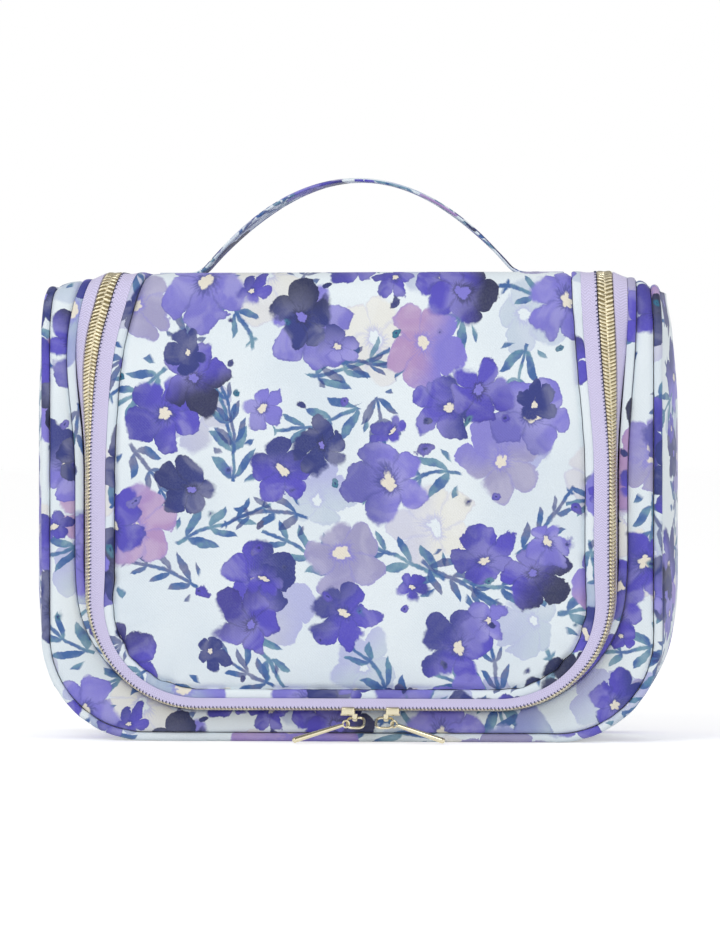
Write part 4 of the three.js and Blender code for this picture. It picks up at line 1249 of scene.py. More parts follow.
class BAG_OT_coil(bpy.types.Operator):
    """Makes every turn of the zip's coil and the stitches that hold it on the tape, whose dark thread is also
    painted shadow beside the turns
    """

    bl_idname = "bag.coil"
    bl_label = "Zip coil"

    def execute(self, context):
        teeth("lid_coil", -S_MIDDLE, S_MIDDLE, 1, FRONT_BEND, "lid_zip_teeth")
        for side, word in SIDES:
            teeth(f"top_coil_{word}", side * S_MIDDLE, side * s_at(TOP_END + 5), 1, REAR_BEND,
                  f"top_zip_teeth_{word}")
        teeth("body_coil", -s_at(TOP_END + 3), s_at(TOP_END + 3), -1, "bag_body", "body_zip_teeth")
        rear = s_at(TOP_END + 4)
        for name, first, last, count, side, where in (
                ("lid_coil_core", -S_MIDDLE, S_MIDDLE, 420, 1, FRONT_BEND),
                ("top_coil_core_left", -rear, -S_MIDDLE, 40, 1, REAR_BEND),
                ("top_coil_core_right", S_MIDDLE, rear, 40, 1, REAR_BEND),
                ("body_coil_core", -rear + 2, rear - 2, 500, -1, "bag_body")):
            place(strip(name, np.linspace(first, last, count), coil_core_profile(side), 60), "core", where)
        pitch = sizes().tooth_pitch / MM
        turns = math.floor((S_MIDDLE - 1) / pitch)
        s = (np.arange(-turns, turns) + 0.5) * pitch
        stitches_and_coil_shadow("lid_coil_stitches_and_shadow", s, FRONT_BEND)
        return {"FINISHED"}


# Gusset, back and back piping

def body_half(z, inset):
    """Half width of the body's outline at a height, inset from its edge."""
    radius = CORNER_RADIUS - inset
    drop = np.clip((CORNER_RADIUS - z) / radius, 0, 1)
    return RIM_CORNER_X + radius * np.sqrt(1 - drop ** 2)


def outline_points(inset, top, corner=40, side=70, bottom=24):
    """The body's outline seen from the front, from the base's middle up the right side, with normals."""
    x = np.linspace(0, RIM_CORNER_X, bottom, endpoint=False)
    points = [pack(x, inset, 0, -1)]
    angle = np.linspace(-math.pi / 2, 0, corner, endpoint=False)
    radius, cos, sin = CORNER_RADIUS - inset, np.cos(angle), np.sin(angle)
    points.append(pack(RIM_CORNER_X + radius * cos, CORNER_RADIUS + radius * sin, cos, sin))
    points.append(pack(HALF_WIDTH - inset, np.linspace(CORNER_RADIUS, top, side), 1, 0))
    return np.concatenate(points)


def mirror_line(half):
    left = half[1:][::-1] * np.array([-1, 1, -1, 1])
    return np.concatenate([left, half])


def setback(z, top, base):
    share = np.clip((z - (top - FOLD_RADIUS)) / FOLD_RADIUS, 0, 1)
    return base + 0.9 * (FOLD_RADIUS - base / 2) * (1 - np.sqrt(1 - share ** 2))


BULGE_START, BULGE_FULL, BULGE_FADE = 14, 60, 125  # heights between which the side walls swell
GUSSET_GROOVE, GUSSET_CREASE = 0.8, 0.35


def gusset_sheet(name, inset, thick, top, base_setback, bulge, columns=48):
    """The wall under and beside the bag, swelling between its two seams."""
    line = mirror_line(outline_points(inset, top))
    x, z, out_x, out_z = (line[:, i:i + 1] for i in range(4))
    half = -FRONT_Y - setback(z, top, base_setback)
    share = columns_across(columns)
    y = half * share
    lift = bulge * smooth(z, BULGE_START, BULGE_FULL) * (1 - 0.55 * smooth(z, BULGE_FADE, top))
    swell = lift * np.cos(share * math.pi / 2) ** 0.75
    edge = (1 - np.abs(share)) * half
    length = running_length(np.hypot(np.diff(line[:, 0]), np.diff(line[:, 1])))[:, None]
    push = swell - groove(edge, GUSSET_GROOVE, 1.2) * smooth(z, 2, 8)
    push = (push + creases(edge, length * 0.7, GUSSET_CREASE, 5) * smooth(z, 6, 30)) * (bulge > 0)
    inward = TOP_EDGE_INSET * smooth(z, top - 14, top + 1) * np.sign(x)
    points = pack(x + push * out_x - inward, y, z + push * out_z)
    return sheet(name, points, pack(length, y), thick)


def back_layer(name, inset, ends, counts, thick, depth):
    """A flat layer behind the back panel. depth(x, z) gives how far back its outer face lies."""
    (low, high), (rows, columns) = ends, counts
    z = np.concatenate([np.linspace(low, CORNER_RADIUS, 20, endpoint=False),
                        np.linspace(CORNER_RADIUS, high, rows)])[:, None]
    x = body_half(z, inset) * columns_across(columns)
    return sheet(name, pack(x, depth(x, z), z), pack(x, z), thick)


class BAG_OT_body_cloth(bpy.types.Operator):
    """Makes the gusset, the back panel, the back piping and the body's linings"""

    bl_idname = "bag.body_cloth"
    bl_label = "Body cloth and lining"

    def execute(self, context):
        gusset = gusset_sheet("gusset_cloth", 0, CLOTH_THICK, SIDE_TOP + 1.2, RIM_INSET - 0.4,
                              sizes().gusset_bulge / MM)
        place(gusset, "gusset_cloth", "bag_body", "side_gusset")
        self.back()
        self.back_piping()
        self.linings()
        return {"FINISHED"}

    def back(self):
        """The back panel, with its two upper corners that roll forwards beside the lid."""
        low = np.linspace(RIM_INSET, CORNER_RADIUS, 26, endpoint=False)
        z = np.concatenate([low, np.linspace(CORNER_RADIUS, FOLD_START - 0.5, 60)])
        half = body_half(z, RIM_INSET)[:, None]
        pieces = [self.back_sheet("back_cloth", BACK_START + FOLD_START - z[:, None], -half, half, 100)]
        v = np.linspace(BACK_START + 0.5, TOP_END + 0.3, 18)[:, None]
        half = HALF_WIDTH - RIM_INSET - TOP_EDGE_INSET * (BACK_START - v) / (BACK_START - TOP_END)
        for side in (-1, 1):
            inner = Station([side * S_END]).x[0, 0] - side * 3.2
            pieces.append(self.back_sheet("corner", v, inner, side * half, 16))
        back = join("back_cloth", pieces)
        place(back, "back_cloth", "bag_body", "back_panel")

    def back_sheet(self, name, v, first, last, columns):
        x = first + (last - first) * (columns_across(columns) + 1) / 2
        half = np.maximum(np.abs(first), np.abs(last))
        edge = np.minimum(half - np.abs(x), np.abs(BACK_START + FOLD_START - RIM_INSET - v))
        swell = swelling(edge, sizes().back_crown / MM, 10) * smooth(v, BACK_START + 4, BACK_START + 30)
        n = swell - groove(edge, 0.7, 1.0)
        return sheet(name, wrap(x, v, n), pack(x, -v), CLOTH_THICK)

    def back_piping(self):
        line = mirror_line(outline_points(PIPING_RADIUS, FOLD_START - CLEARANCE, 36, 60, 20))
        angle = circle(16)
        out = PIPING_RADIUS * np.cos(angle)
        y = BACK_Y - PIPING_SINK + PIPING_RADIUS * np.sin(angle)
        rings = pack(line[:, 0:1] + line[:, 2:3] * out, y, line[:, 1:2] + line[:, 3:4] * out)
        place(tube("back_piping_cloth", rings, angle=60), "piping_cloth", "bag_body", "back_piping")

    def linings(self):
        top = SIDE_TOP - 2
        wall = gusset_sheet("gusset_lining", LINING_OUTER, LINING_THICK, top, WALL_DEPTH - LINING_THICK,
                            0, 30)
        inset = LINING_OUTER + 0.4
        back = back_layer("back_lining", inset, (inset, FOLD_START - 4), (40, 60), LINING_THICK,
                          lambda x, z: BACK_Y - LINING_OUTER - 0.25 * (1 + unevenness(x, z)))
        facing = strip("facing", np.linspace(-S_END, S_END, 300), border_lining_profile)
        lining = join("body_lining_cloth", [wall, back, facing])
        place(lining, "lining", "bag_body", "body_lining")


# Handle

ARCH_SHARE = 0.985  # of the handle's half width, where the arch meets its sewn ends
LEFT_END, RIGHT_END, END_START = HANDLE_TAB_END - 3.4, HANDLE_TAB_END - 0.4, HANDLE_TAB_START + 1.5
STRAP_TWIST = math.radians(1.8)
PINCH = 1.2  # how much narrower the strap is where it leaves the lid


def arch_line():
    """Middle line of the strap, from the sewn end on the left over the arch to the one on the right."""
    share = np.linspace(-ARCH_SHARE, ARCH_SHARE, 150)
    arch = pack(HANDLE_HALF * share, HANDLE_PIVOT_Z + HANDLE_RISE * (1 - share ** 2))
    seat = HEIGHT + LID_LIFT[0] + CLEARANCE + STRAP_THICK / 2
    left = -np.linspace(LEFT_END, END_START, 12)
    right = np.linspace(END_START, RIGHT_END, 12)
    return evened(np.concatenate([pack(left, seat), arch, pack(right, seat)]), 260, 5)


def strap_frame():
    """The strap's line in space with its outward normals, its half widths and its twist."""
    line = arch_line()
    run = unit(np.gradient(line, axis=0))
    normal = pack(-run[:, 1], run[:, 0])
    lengths = line_length(line)
    rise = line[:, 1] - HANDLE_PIVOT_Z
    pinch = np.exp(-((rise - 3) / 5) ** 2) * (np.abs(line[:, 0]) < HANDLE_TAB_START + 1)
    half = HANDLE_WIDTH / 2 - PINCH * pinch
    lift = smooth(rise, 2, 14)
    twist = STRAP_TWIST * lift * np.sin(lengths / lengths[-1] * 4.3 * math.pi + 0.9)
    return line, normal, half, twist, lengths


def on_strap(line, normal, half, twist, share, height):
    """Points of the strap at a share of its half width and a height over its middle."""
    y = half[:, None] * share
    side = y * np.cos(twist)[:, None] - height * np.sin(twist)[:, None]
    up = y * np.sin(twist)[:, None] + height * np.cos(twist)[:, None]
    return pack(line[:, :1] + normal[:, :1] * up, side, line[:, 1:] + normal[:, 1:] * up)


STITCH_ROW, STITCH_STEP = 0.76, 2.6  # share of the strap's half width, and from stitch to stitch
STRAP_SHARES = np.array([-1, -0.97, -0.86, -0.76, -0.6, -0.3, 0, 0.3, 0.6, 0.76, 0.86, 0.97, 1])
STRAP_FULL_SHARES = np.array([0.35, 0.8, 1, 0.72, 0.95, 1, 1, 1, 0.95, 0.72, 1, 0.8, 0.35])


class BAG_OT_handle(bpy.types.Operator):
    """Makes the carrying strap with its sewn ends and its stitching"""

    bl_idname = "bag.handle"
    bl_label = "Handle"

    def execute(self, context):
        line, normal, half, twist, lengths = strap_frame()
        thick = STRAP_THICK / 2 * STRAP_FULL_SHARES
        upper = on_strap(line, normal, half, twist, STRAP_SHARES, thick)
        lower = on_strap(line, normal, half, twist, STRAP_SHARES[::-1], -thick[::-1])
        rings = np.concatenate([upper, lower], axis=1)
        strap = tube("handle_webbing", rings, lengths, 60)
        place(strap, "strap_cloth", HANDLE_BEND, "handle_strap", "handle_tab_left", "handle_tab_right")
        self.stitching(line, normal, half, twist, lengths)
        return {"FINISHED"}

    def stitching(self, line, normal, half, twist, lengths):
        """Two rows of running stitches along both faces of the strap."""
        pattern = drawn_rod([(x * 1.5, z, width * 0.6, height * 0.6)
                             for x, z, width, height in STITCH_SECTIONS], 5)
        centres = np.arange(3, lengths[-1] - 3, STITCH_STEP)
        at = [at_lengths(centres, lengths, line), at_lengths(centres, lengths, normal),
              np.interp(centres, lengths, half), np.interp(centres, lengths, twist)]
        rows = []
        for share in (-STITCH_ROW, STITCH_ROW):
            for face in (1, -1):
                height = face * STRAP_THICK / 2 * 0.78
                origin = on_strap(*at, np.array([share]), height)[:, 0]
                up = unit(on_strap(*at, np.array([share]), height + face)[:, 0] - origin)
                run = unit(pack(at[1][:, 1], 0, -at[1][:, 0]))
                axes = np.stack([run, np.cross(up, run), up], axis=1)
                rows.append(repeat("row", pattern, origin, axes))
        place(join("handle_stitching", rows), "pale_thread", HANDLE_BEND, slot="print_cloth")


# Fittings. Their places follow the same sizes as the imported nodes.

SLIDER_MEET, SLIDER_SPACING = 8.5, 16.8
SLIDER_LENGTH, SLIDER_WALL = 5.8, 0.9
CROWN_SHIFT = 2.5
BAIL_WIRE, BAIL_LENGTH, BAIL_WIDTH, BAIL_SHIFT, BAIL_CORNER = 0.5, 7.4, 6.6, 2.95, 2.0
CROWN_WIDTH = 2 * (BAIL_WIRE + CLEARANCE + SLIDER_WALL)
BAIL_SLOPE = math.radians(40)
EYE_RADIUS, EYE_WIRE, EYE_SHIFT, EYE_REACH = 1.24, 0.38, 0.5, 0.44
BAR_LENGTH, BAR_NECK, BAR_TIP = 20.5, 0.72, 1.15
BAR_DROP, BAR_FORWARD = math.radians(16), math.radians(20)


def slider_places(side):
    """Middle of one slider, the bail's seat in its crown and the middle of the pull's eye."""
    centre_x = SLIDER_MEET + side * SLIDER_SPACING / 2
    station = Station([0.0])
    row_front = tape_ends(station)[1][0, 0] + TAPE_THICK / 2
    front = FRONT_Y - row_front - CLEARANCE
    base = ZIP_BOTTOM - ROW_WIDTH / 2 - CLEARANCE
    seat = Vector((centre_x, front - SLIDER_WALL + CROWN_WIDTH / 2,
                   base - SLIDER_WALL - CLEARANCE - BAIL_WIRE))
    down = Vector((0, -math.cos(BAIL_SLOPE), -math.sin(BAIL_SLOPE)))
    run = Vector((side * math.cos(BAR_FORWARD) * math.cos(BAR_DROP),
                  -math.sin(BAR_FORWARD) * math.cos(BAR_DROP), -math.sin(BAR_DROP)))
    end_x = centre_x - side * BAIL_SHIFT + side * (BAIL_LENGTH / 2 - BAIL_WIRE)
    eye = (Vector((end_x, seat.y, seat.z)) + down * (BAIL_WIDTH / 2 - BAIL_WIRE + EYE_SHIFT)
           + run * EYE_REACH)
    return centre_x, seat, down, run, eye


def cast_block(name, low, high, bevel, taper=()):
    """A cast and polished block: its top or front may be drawn in, and every edge is rounded."""
    low, high = np.array(low) * MM, np.array(high) * MM
    middle, size = (low + high) / 2, high - low
    bpy.ops.mesh.primitive_cube_add(size=1.0, location=middle)
    obj = bpy.context.object
    obj.name = name
    obj.scale = size
    bpy.ops.object.transform_apply(location=True, rotation=True, scale=True)
    for direction, factors in taper:
        bpy.ops.object.mode_set(mode="EDIT")
        bpy.ops.mesh.select_mode(type="FACE")
        bpy.ops.mesh.select_all(action="DESELECT")
        bpy.ops.object.mode_set(mode="OBJECT")
        for face in obj.data.polygons:
            face.select = face.normal.dot(Vector(direction)) > 0.9
        bpy.ops.object.mode_set(mode="EDIT")
        centre = middle + np.array(direction) * size / 2
        bpy.ops.transform.resize(value=factors, center_override=centre)
        bpy.ops.object.mode_set(mode="OBJECT")
    apply_modifier(obj, "BEVEL", width=bevel * MM, segments=3, limit_method="ANGLE",
                   angle_limit=math.radians(25), use_clamp_overlap=True)
    bpy.ops.object.shade_smooth_by_angle(angle=math.radians(35))
    return obj


def cloth_uv(obj):
    """Flat cloth coordinates from the front, in millimetres."""
    while obj.data.uv_layers:
        obj.data.uv_layers.remove(obj.data.uv_layers[0])
    layer = obj.data.uv_layers.new(name="cloth")
    for corner in obj.data.loops:
        at = obj.data.vertices[corner.vertex_index].co
        layer.data[corner.index].uv = (at.x / MM, at.z / MM)
    return obj


def edit_all():
    """Opens the active mesh in edit mode with everything selected."""
    bpy.ops.object.mode_set(mode="EDIT")
    bpy.ops.mesh.select_all(action="SELECT")


def close_skin(threshold, angle):
    """Merges the doubles of the mesh in edit mode, turns its faces outwards and shades it."""
    bpy.ops.mesh.remove_doubles(threshold=threshold)
    bpy.ops.mesh.normals_make_consistent(inside=False)
    bpy.ops.object.mode_set(mode="OBJECT")
    bpy.ops.object.shade_smooth_by_angle(angle=math.radians(angle))


def wire(name, line, radius, closed=True, sides=4):
    """A round wire bent along a line, as a mesh."""
    curve = bpy.data.curves.new(name, "CURVE")
    curve.dimensions = "3D"
    curve.bevel_depth = radius * MM
    curve.bevel_resolution = sides
    curve.use_fill_caps = True
    spline = curve.splines.new("POLY")
    spline.points.add(len(line) - 1)
    for bead, place_mm in zip(spline.points, line):
        bead.co = (*(Vector(place_mm) * MM), 1)
    spline.use_cyclic_u = closed
    select_only(linked(name, curve))
    bpy.ops.object.convert(target="MESH")
    edit_all()
    close_skin(MERGE, 50)
    return bpy.context.object


def rounded_loop(length, width, corner):
    line, steps = [], 8
    for quadrant, (sx, sy) in enumerate(((1, 1), (-1, 1), (-1, -1), (1, -1))):
        for i in range(steps + 1):
            angle = math.pi / 2 * (quadrant + i / steps)
            line.append((sx * (length / 2 - corner) + corner * math.cos(angle),
                         sy * (width / 2 - corner) + corner * math.sin(angle)))
    return line


def turned_rod(name, profile, start, run):
    """A rod turned on a lathe: (length, radius) steps spun round its axis, set from a point along run."""
    mesh = bpy.data.meshes.new(name)
    mesh.from_pydata([(radius * MM, 0, length * MM) for length, radius in profile],
                     [(i, i + 1) for i in range(len(profile) - 1)], [])
    obj = linked(name, mesh)
    select_only(obj)
    edit_all()
    bpy.ops.mesh.spin(steps=20, angle=2 * math.pi, center=(0, 0, 0), axis=(0, 0, 1))
    bpy.ops.mesh.select_all(action="SELECT")
    close_skin(20 * MERGE, 35)
    turn = run.to_track_quat("Z", "Y").to_matrix().to_4x4()
    obj.data.transform(Matrix.Translation(start * MM) @ turn)
    return obj


class BAG_OT_sliders(bpy.types.Operator):
    """Makes both zip sliders, each with its wire bail and its slim pull bar"""

    bl_idname = "bag.sliders"
    bl_label = "Sliders and pulls"

    def execute(self, context):
        for side, word in SIDES:
            centre_x, seat, down, run, eye = slider_places(side)
            body = self.body(word, centre_x, side, seat)
            place(body, "metal", f"{word}_slider", f"slider_{word}")
            middle = (Vector((centre_x - side * BAIL_SHIFT, seat.y, seat.z))
                      + down * (BAIL_WIDTH / 2 - BAIL_WIRE))
            loop = rounded_loop(BAIL_LENGTH - 2 * BAIL_WIRE, BAIL_WIDTH - 2 * BAIL_WIRE, BAIL_CORNER)
            line = [middle + Vector((x, 0, 0)) + down * y for x, y in loop]
            place(wire(f"bail_{word}", line, BAIL_WIRE), "metal", f"{word}_bail", f"slider_bail_{word}")
            place(self.pull(word, run, eye), "metal", f"{word}_pull", f"pull_bar_{word}")
        return {"FINISHED"}

    def body(self, word, centre_x, side, seat):
        """The slider: a folded plate round the row of turns, and the crown that holds the bail."""
        half, wall = SLIDER_LENGTH / 2, SLIDER_WALL
        front, base = seat.y - CROWN_WIDTH / 2, seat.z + BAIL_WIRE + CLEARANCE
        rear = FRONT_Y - CHAIN_LIFT[2]
        face = cast_block("face", (centre_x - half, front, base), (centre_x + half, front + 1.1, base + 3.4),
                          0.3, [((0, -1, 0), (0.86, 1, 0.78)), ((0, 0, 1), (0.9, 1, 1))])
        floor = cast_block("floor", (centre_x - half, front + 0.4, base),
                           (centre_x + half, rear, base + wall), 0.25, [((0, 1, 0), (0.7, 1, 1))])
        middle = centre_x - side * CROWN_SHIFT
        reach = CROWN_WIDTH / 2 - 0.45
        arch = [(middle, seat.y - reach, base + 0.5)]
        arch += [(middle, seat.y - reach * math.cos(a), seat.z - (BAIL_WIRE + 0.6) * math.sin(a))
                 for a in np.linspace(0, math.pi, 11)]
        arch.append((middle, seat.y + reach, base + 0.5))
        crown = wire("crown", arch, 0.45, closed=False)
        crown.data.transform(Matrix.Translation((middle * MM, 0, 0)) @ Matrix.Scale(2.2, 4, (1, 0, 0))
                             @ Matrix.Translation((-middle * MM, 0, 0)))
        return join(f"slider_body_{word}", [face, floor, crown])

    def pull(self, word, run, eye):
        rise = Vector((0, 0, 1)) - run * run.z
        rise.normalize()
        line = [eye + (run * math.cos(a) + rise * math.sin(a)) * EYE_RADIUS for a in circle(32)]
        ring = wire(f"pull_eye_{word}", line, EYE_WIRE)
        profile = [(EYE_RADIUS - 0.25, 0), (EYE_RADIUS - 0.25, BAR_NECK * 0.8), (EYE_RADIUS + 0.4, BAR_NECK)]
        for share in np.linspace(0.1, 0.94, 12):
            profile.append((EYE_RADIUS + share * BAR_LENGTH, BAR_NECK + (BAR_TIP - BAR_NECK) * share ** 0.8))
        for angle in np.linspace(0.25, math.pi / 2, 6):
            profile.append((EYE_RADIUS + 0.945 * BAR_LENGTH + math.sin(angle) * 1.05,
                            BAR_TIP * max(math.cos(angle), 0) ** 0.8))
        rod = turned_rod(f"pull_rod_{word}", profile, eye, run)
        return join(f"pull_{word}", [ring, rod])


# Foam, pockets, hook and the tabs over the zip's ends

class BAG_OT_foam(bpy.types.Operator):
    """Makes the foam boards that the cloth is stretched over"""

    bl_idname = "bag.foam"
    bl_label = "Foam boards"

    def execute(self, context):
        lid = lid_sheet("lid_foam", CORNER_S, s_at(FOLD_START - 4), 60, 1.7, FOAM_THICK, FOAM_OUTER, 50)
        self.finish(lid, "front_lid", "lid_foam_board")
        top = lid_sheet("top_foam", s_at(TOP_START + 5), s_at(TOP_END - 5), 24, 0.5, FOAM_THICK,
                        FOAM_OUTER, 50)
        self.finish(top, "top_flap", "top_foam_board")
        high = SIDE_TOP - FOLD_RADIUS
        wall = gusset_sheet("wall_foam", FOAM_OUTER, FOAM_THICK, high, WALL_DEPTH, 0, 24)
        self.finish(wall, "bag_body", "gusset_foam")
        inset = WALL_DEPTH + CLEARANCE
        back = back_layer("back_foam", inset, (inset + 0.2, high), (30, 40), FOAM_THICK,
                          lambda x, z: BACK_Y - FOAM_OUTER)
        self.finish(back, "bag_body", "back_foam_board")
        return {"FINISHED"}

    def finish(self, board, body, node):
        place(board, "foam", body, node)


def lid_wall(x, z):
    """Depth of the inner face of the lid's lining in the closed bag."""
    return (FRONT_Y - along(LID_LIFT, z) + LINING_OUTER + LINING_THICK - LINING_CROWN
            - WAVE_HEIGHT * unevenness(x, z))


def back_wall(x, z):
    """Depth of the inner face of the lining on the back."""
    return BACK_Y - LINING_OUTER - LINING_THICK - 0.25 * (1 + unevenness(x, z))


class Pocket:
    """A flat pocket sewn on a wall at both sides and one end, its mouth drawn in by elastic."""

    def __init__(self, node_face, node_hem, wall, inward, mouth_up):
        (_, _, low_z), (high_x, _, high_z) = box_mm(node_face)
        hem_low, hem_high = box_mm(node_hem)
        self.half, self.wall, self.inward = high_x, wall, inward
        self.closed = low_z if mouth_up else high_z
        self.mouth = hem_high[2] if mouth_up else hem_low[2]
        self.hem_edge = hem_low[2] if mouth_up else hem_high[2]

    def depth(self, x, z):
        """How far the pocket stands off its wall: flat at its seams, loose and gathered at its mouth."""
        side = self.half - np.abs(x)
        end = np.abs(z - self.closed)
        loose = swelling(side, 1, 12) * swelling(end, 1, 14)
        to_mouth = np.abs(z - self.mouth)
        pleats = np.sin(x / 1.45 + 0.9 * np.sin(x / 7)) * np.exp(-to_mouth / 16)
        folds = np.sin(x / 8 + z / 19) * np.sin(z / 11)
        return 0.5 + 3.7 * loose + (0.42 * pleats + 0.3 * folds) * np.clip(side / 8, 0, 1)

    def point(self, x, z, height=0.0):
        y = self.wall(x, z) + self.inward * (self.depth(x, z) + height)
        return pack(x, y, z)

    def hem(self, name, thick):
        """The elastic at the mouth, folded round the cloth's edge."""
        x = np.linspace(-self.half, self.half, 280)[:, None]
        share = np.array([0, 0.06, 0.2, 0.4, 0.6, 0.8, 0.94, 1, 1, 0.94, 0.5, 0.06, 0])
        rise = thick * np.array([0.3, 0.8, 1, 0.93, 0.93, 1, 0.8, 0.3, -0.1, -0.3, -0.3, -0.3, -0.1])
        z = self.mouth + (self.hem_edge - self.mouth) * share
        return tube(name, self.point(x, z, rise), x[:, 0], 60)

    def seam_line(self):
        """The sewn edge, from the mouth down one side, round the closed end and up the other side."""
        corner, way = 7.0, 1 if self.closed > self.mouth else -1
        turn = np.linspace(0, math.pi / 2, 10)
        straight = np.linspace(self.mouth, self.closed - way * corner, 26)[:-1]
        side = pack(self.half, straight, 1, 0)
        bend = pack(self.half - corner + corner * np.cos(turn),
                    self.closed - way * corner + way * corner * np.sin(turn),
                    np.cos(turn), way * np.sin(turn))
        bottom = pack(np.linspace(self.half - corner, 0, 24)[1:], self.closed, 0, way)
        right = np.concatenate([side, bend, bottom])
        return np.concatenate([right, right[:-1][::-1] * np.array([-1, 1, -1, 1])])

    def binding(self, name, width, thick):
        """A flat tape over the sewn edge."""
        line = self.seam_line()
        inset = width * np.array([0, 0, 0.08, 0.3, 0.7, 0.92, 1, 1])
        rise = thick * np.array([-0.6, 0.5, 0.9, 1, 1, 0.9, 0.5, -0.6])
        x = line[:, :1] - line[:, 2:3] * inset
        z = line[:, 1:2] - line[:, 3:4] * inset
        y = self.wall(x, z) + self.inward * (0.3 + rise)
        return tube(name, pack(x, y, z), angle=50)


def honeycomb(pitch, half, low, high):
    """The holes of a knitted net: points and six-sided faces in the plane."""
    radius = pitch / math.sqrt(3)
    places, faces = {}, []
    for row in range(int((high - low) / (1.5 * radius)) + 1):
        z = low + row * 1.5 * radius
        shift = pitch / 2 * (row % 2)
        for column in range(int(2 * half / pitch) + 1):
            x = -half + shift + column * pitch
            if x > half or z > high:
                continue
            face = []
            for k in range(6):
                angle = math.pi / 3 * k + math.pi / 6
                key = (round(x + radius * math.cos(angle), 4), round(z + radius * math.sin(angle), 4))
                face.append(places.setdefault(key, len(places)))
            faces.append(tuple(face))
    return np.array(list(places)), faces


class BAG_OT_pockets(bpy.types.Operator):
    """Makes the net pocket on the lid and the slip pocket on the back wall"""

    bl_idname = "bag.pockets"
    bl_label = "Pockets"

    def execute(self, context):
        self.net_pocket()
        self.slip_pocket()
        return {"FINISHED"}

    def net_pocket(self):
        pocket = Pocket("lid_pocket_net", "lid_pocket_elastic", lid_wall, 1, False)
        low, high = sorted((pocket.hem_edge, pocket.closed))
        flat, faces = honeycomb(sizes().net_pitch / MM, pocket.half - 2.2, low - 2, high - 2.2)
        net = new_object("pocket_net", pocket.point(flat[:, 0], flat[:, 1], -0.2), faces, flat)
        apply_modifier(net, "WIREFRAME", thickness=0.56 * MM, use_even_offset=False, use_boundary=True)
        select_only(net)
        bpy.ops.object.shade_smooth_by_angle(angle=math.radians(60))
        place(net, "net", "front_lid", "lid_pocket_net")
        hem = pocket.hem("pocket_net_hem", 0.9)
        place(hem, "elastic", "front_lid", "lid_pocket_elastic")
        tape = pocket.binding("pocket_net_binding", 5.0, 0.8)
        place(tape, "binding_cloth", "front_lid", "lid_pocket_frame")
        flat = ((2 * pocket.half + 8) * MM, (high - low) * MM)

    def slip_pocket(self):
        pocket = Pocket("slip_pocket_panel", "slip_pocket_elastic", back_wall, -1, True)
        x = pocket.half * columns_across(220)
        z = np.linspace(pocket.closed, pocket.hem_edge + 2, 60)[:, None]
        panel = sheet("slip_pocket_cloth", pocket.point(x, z), pack(x, z), LINING_THICK)
        place(panel, "pocket_cloth", "bag_body", "slip_pocket_panel", "slip_pocket_frame")
        hem = pocket.hem("slip_pocket_hem", 0.9)
        place(hem, "elastic", "bag_body", "slip_pocket_elastic")
        tape = pocket.binding("slip_pocket_binding", 4.0, 0.7)
        place(tape, "webbing", "bag_body", slot="lining")


WEB_HALF, WEB_THICK, WEB_TURN = 6.0, 0.7, 1.38  # the webbing's half width, thickness and turn round the ring
RING_WIRE = 1.0
TAB_SEAM = 1.6  # from the tab's edge to its stitches
HOOK_BEND, HOOK_TIP = 9.0, 7.0  # radius of the hook's bend, and how far its tip comes down
# Turned shapes: distance along the axis and radius
SWIVEL_SHAPE = ((0, 0), (0, 1.3), (0.5, 2.0), (1.3, 2.45), (1.9, 2.2), (2.4, 1.75), (3.0, 1.75), (3.4, 2.3),
                (4.0, 2.6), (5.2, 2.6), (5.8, 2.35), (6.3, 1.85), (6.7, 1.7), (6.7, 0))
COLLAR_SHAPE = ((0, 0), (0, 1.6), (0.3, 2.1), (1.1, 2.1), (1.5, 1.6), (1.5, 0))
COLLAR_RISE, KNOB_RADIUS = 6.4, 1.9


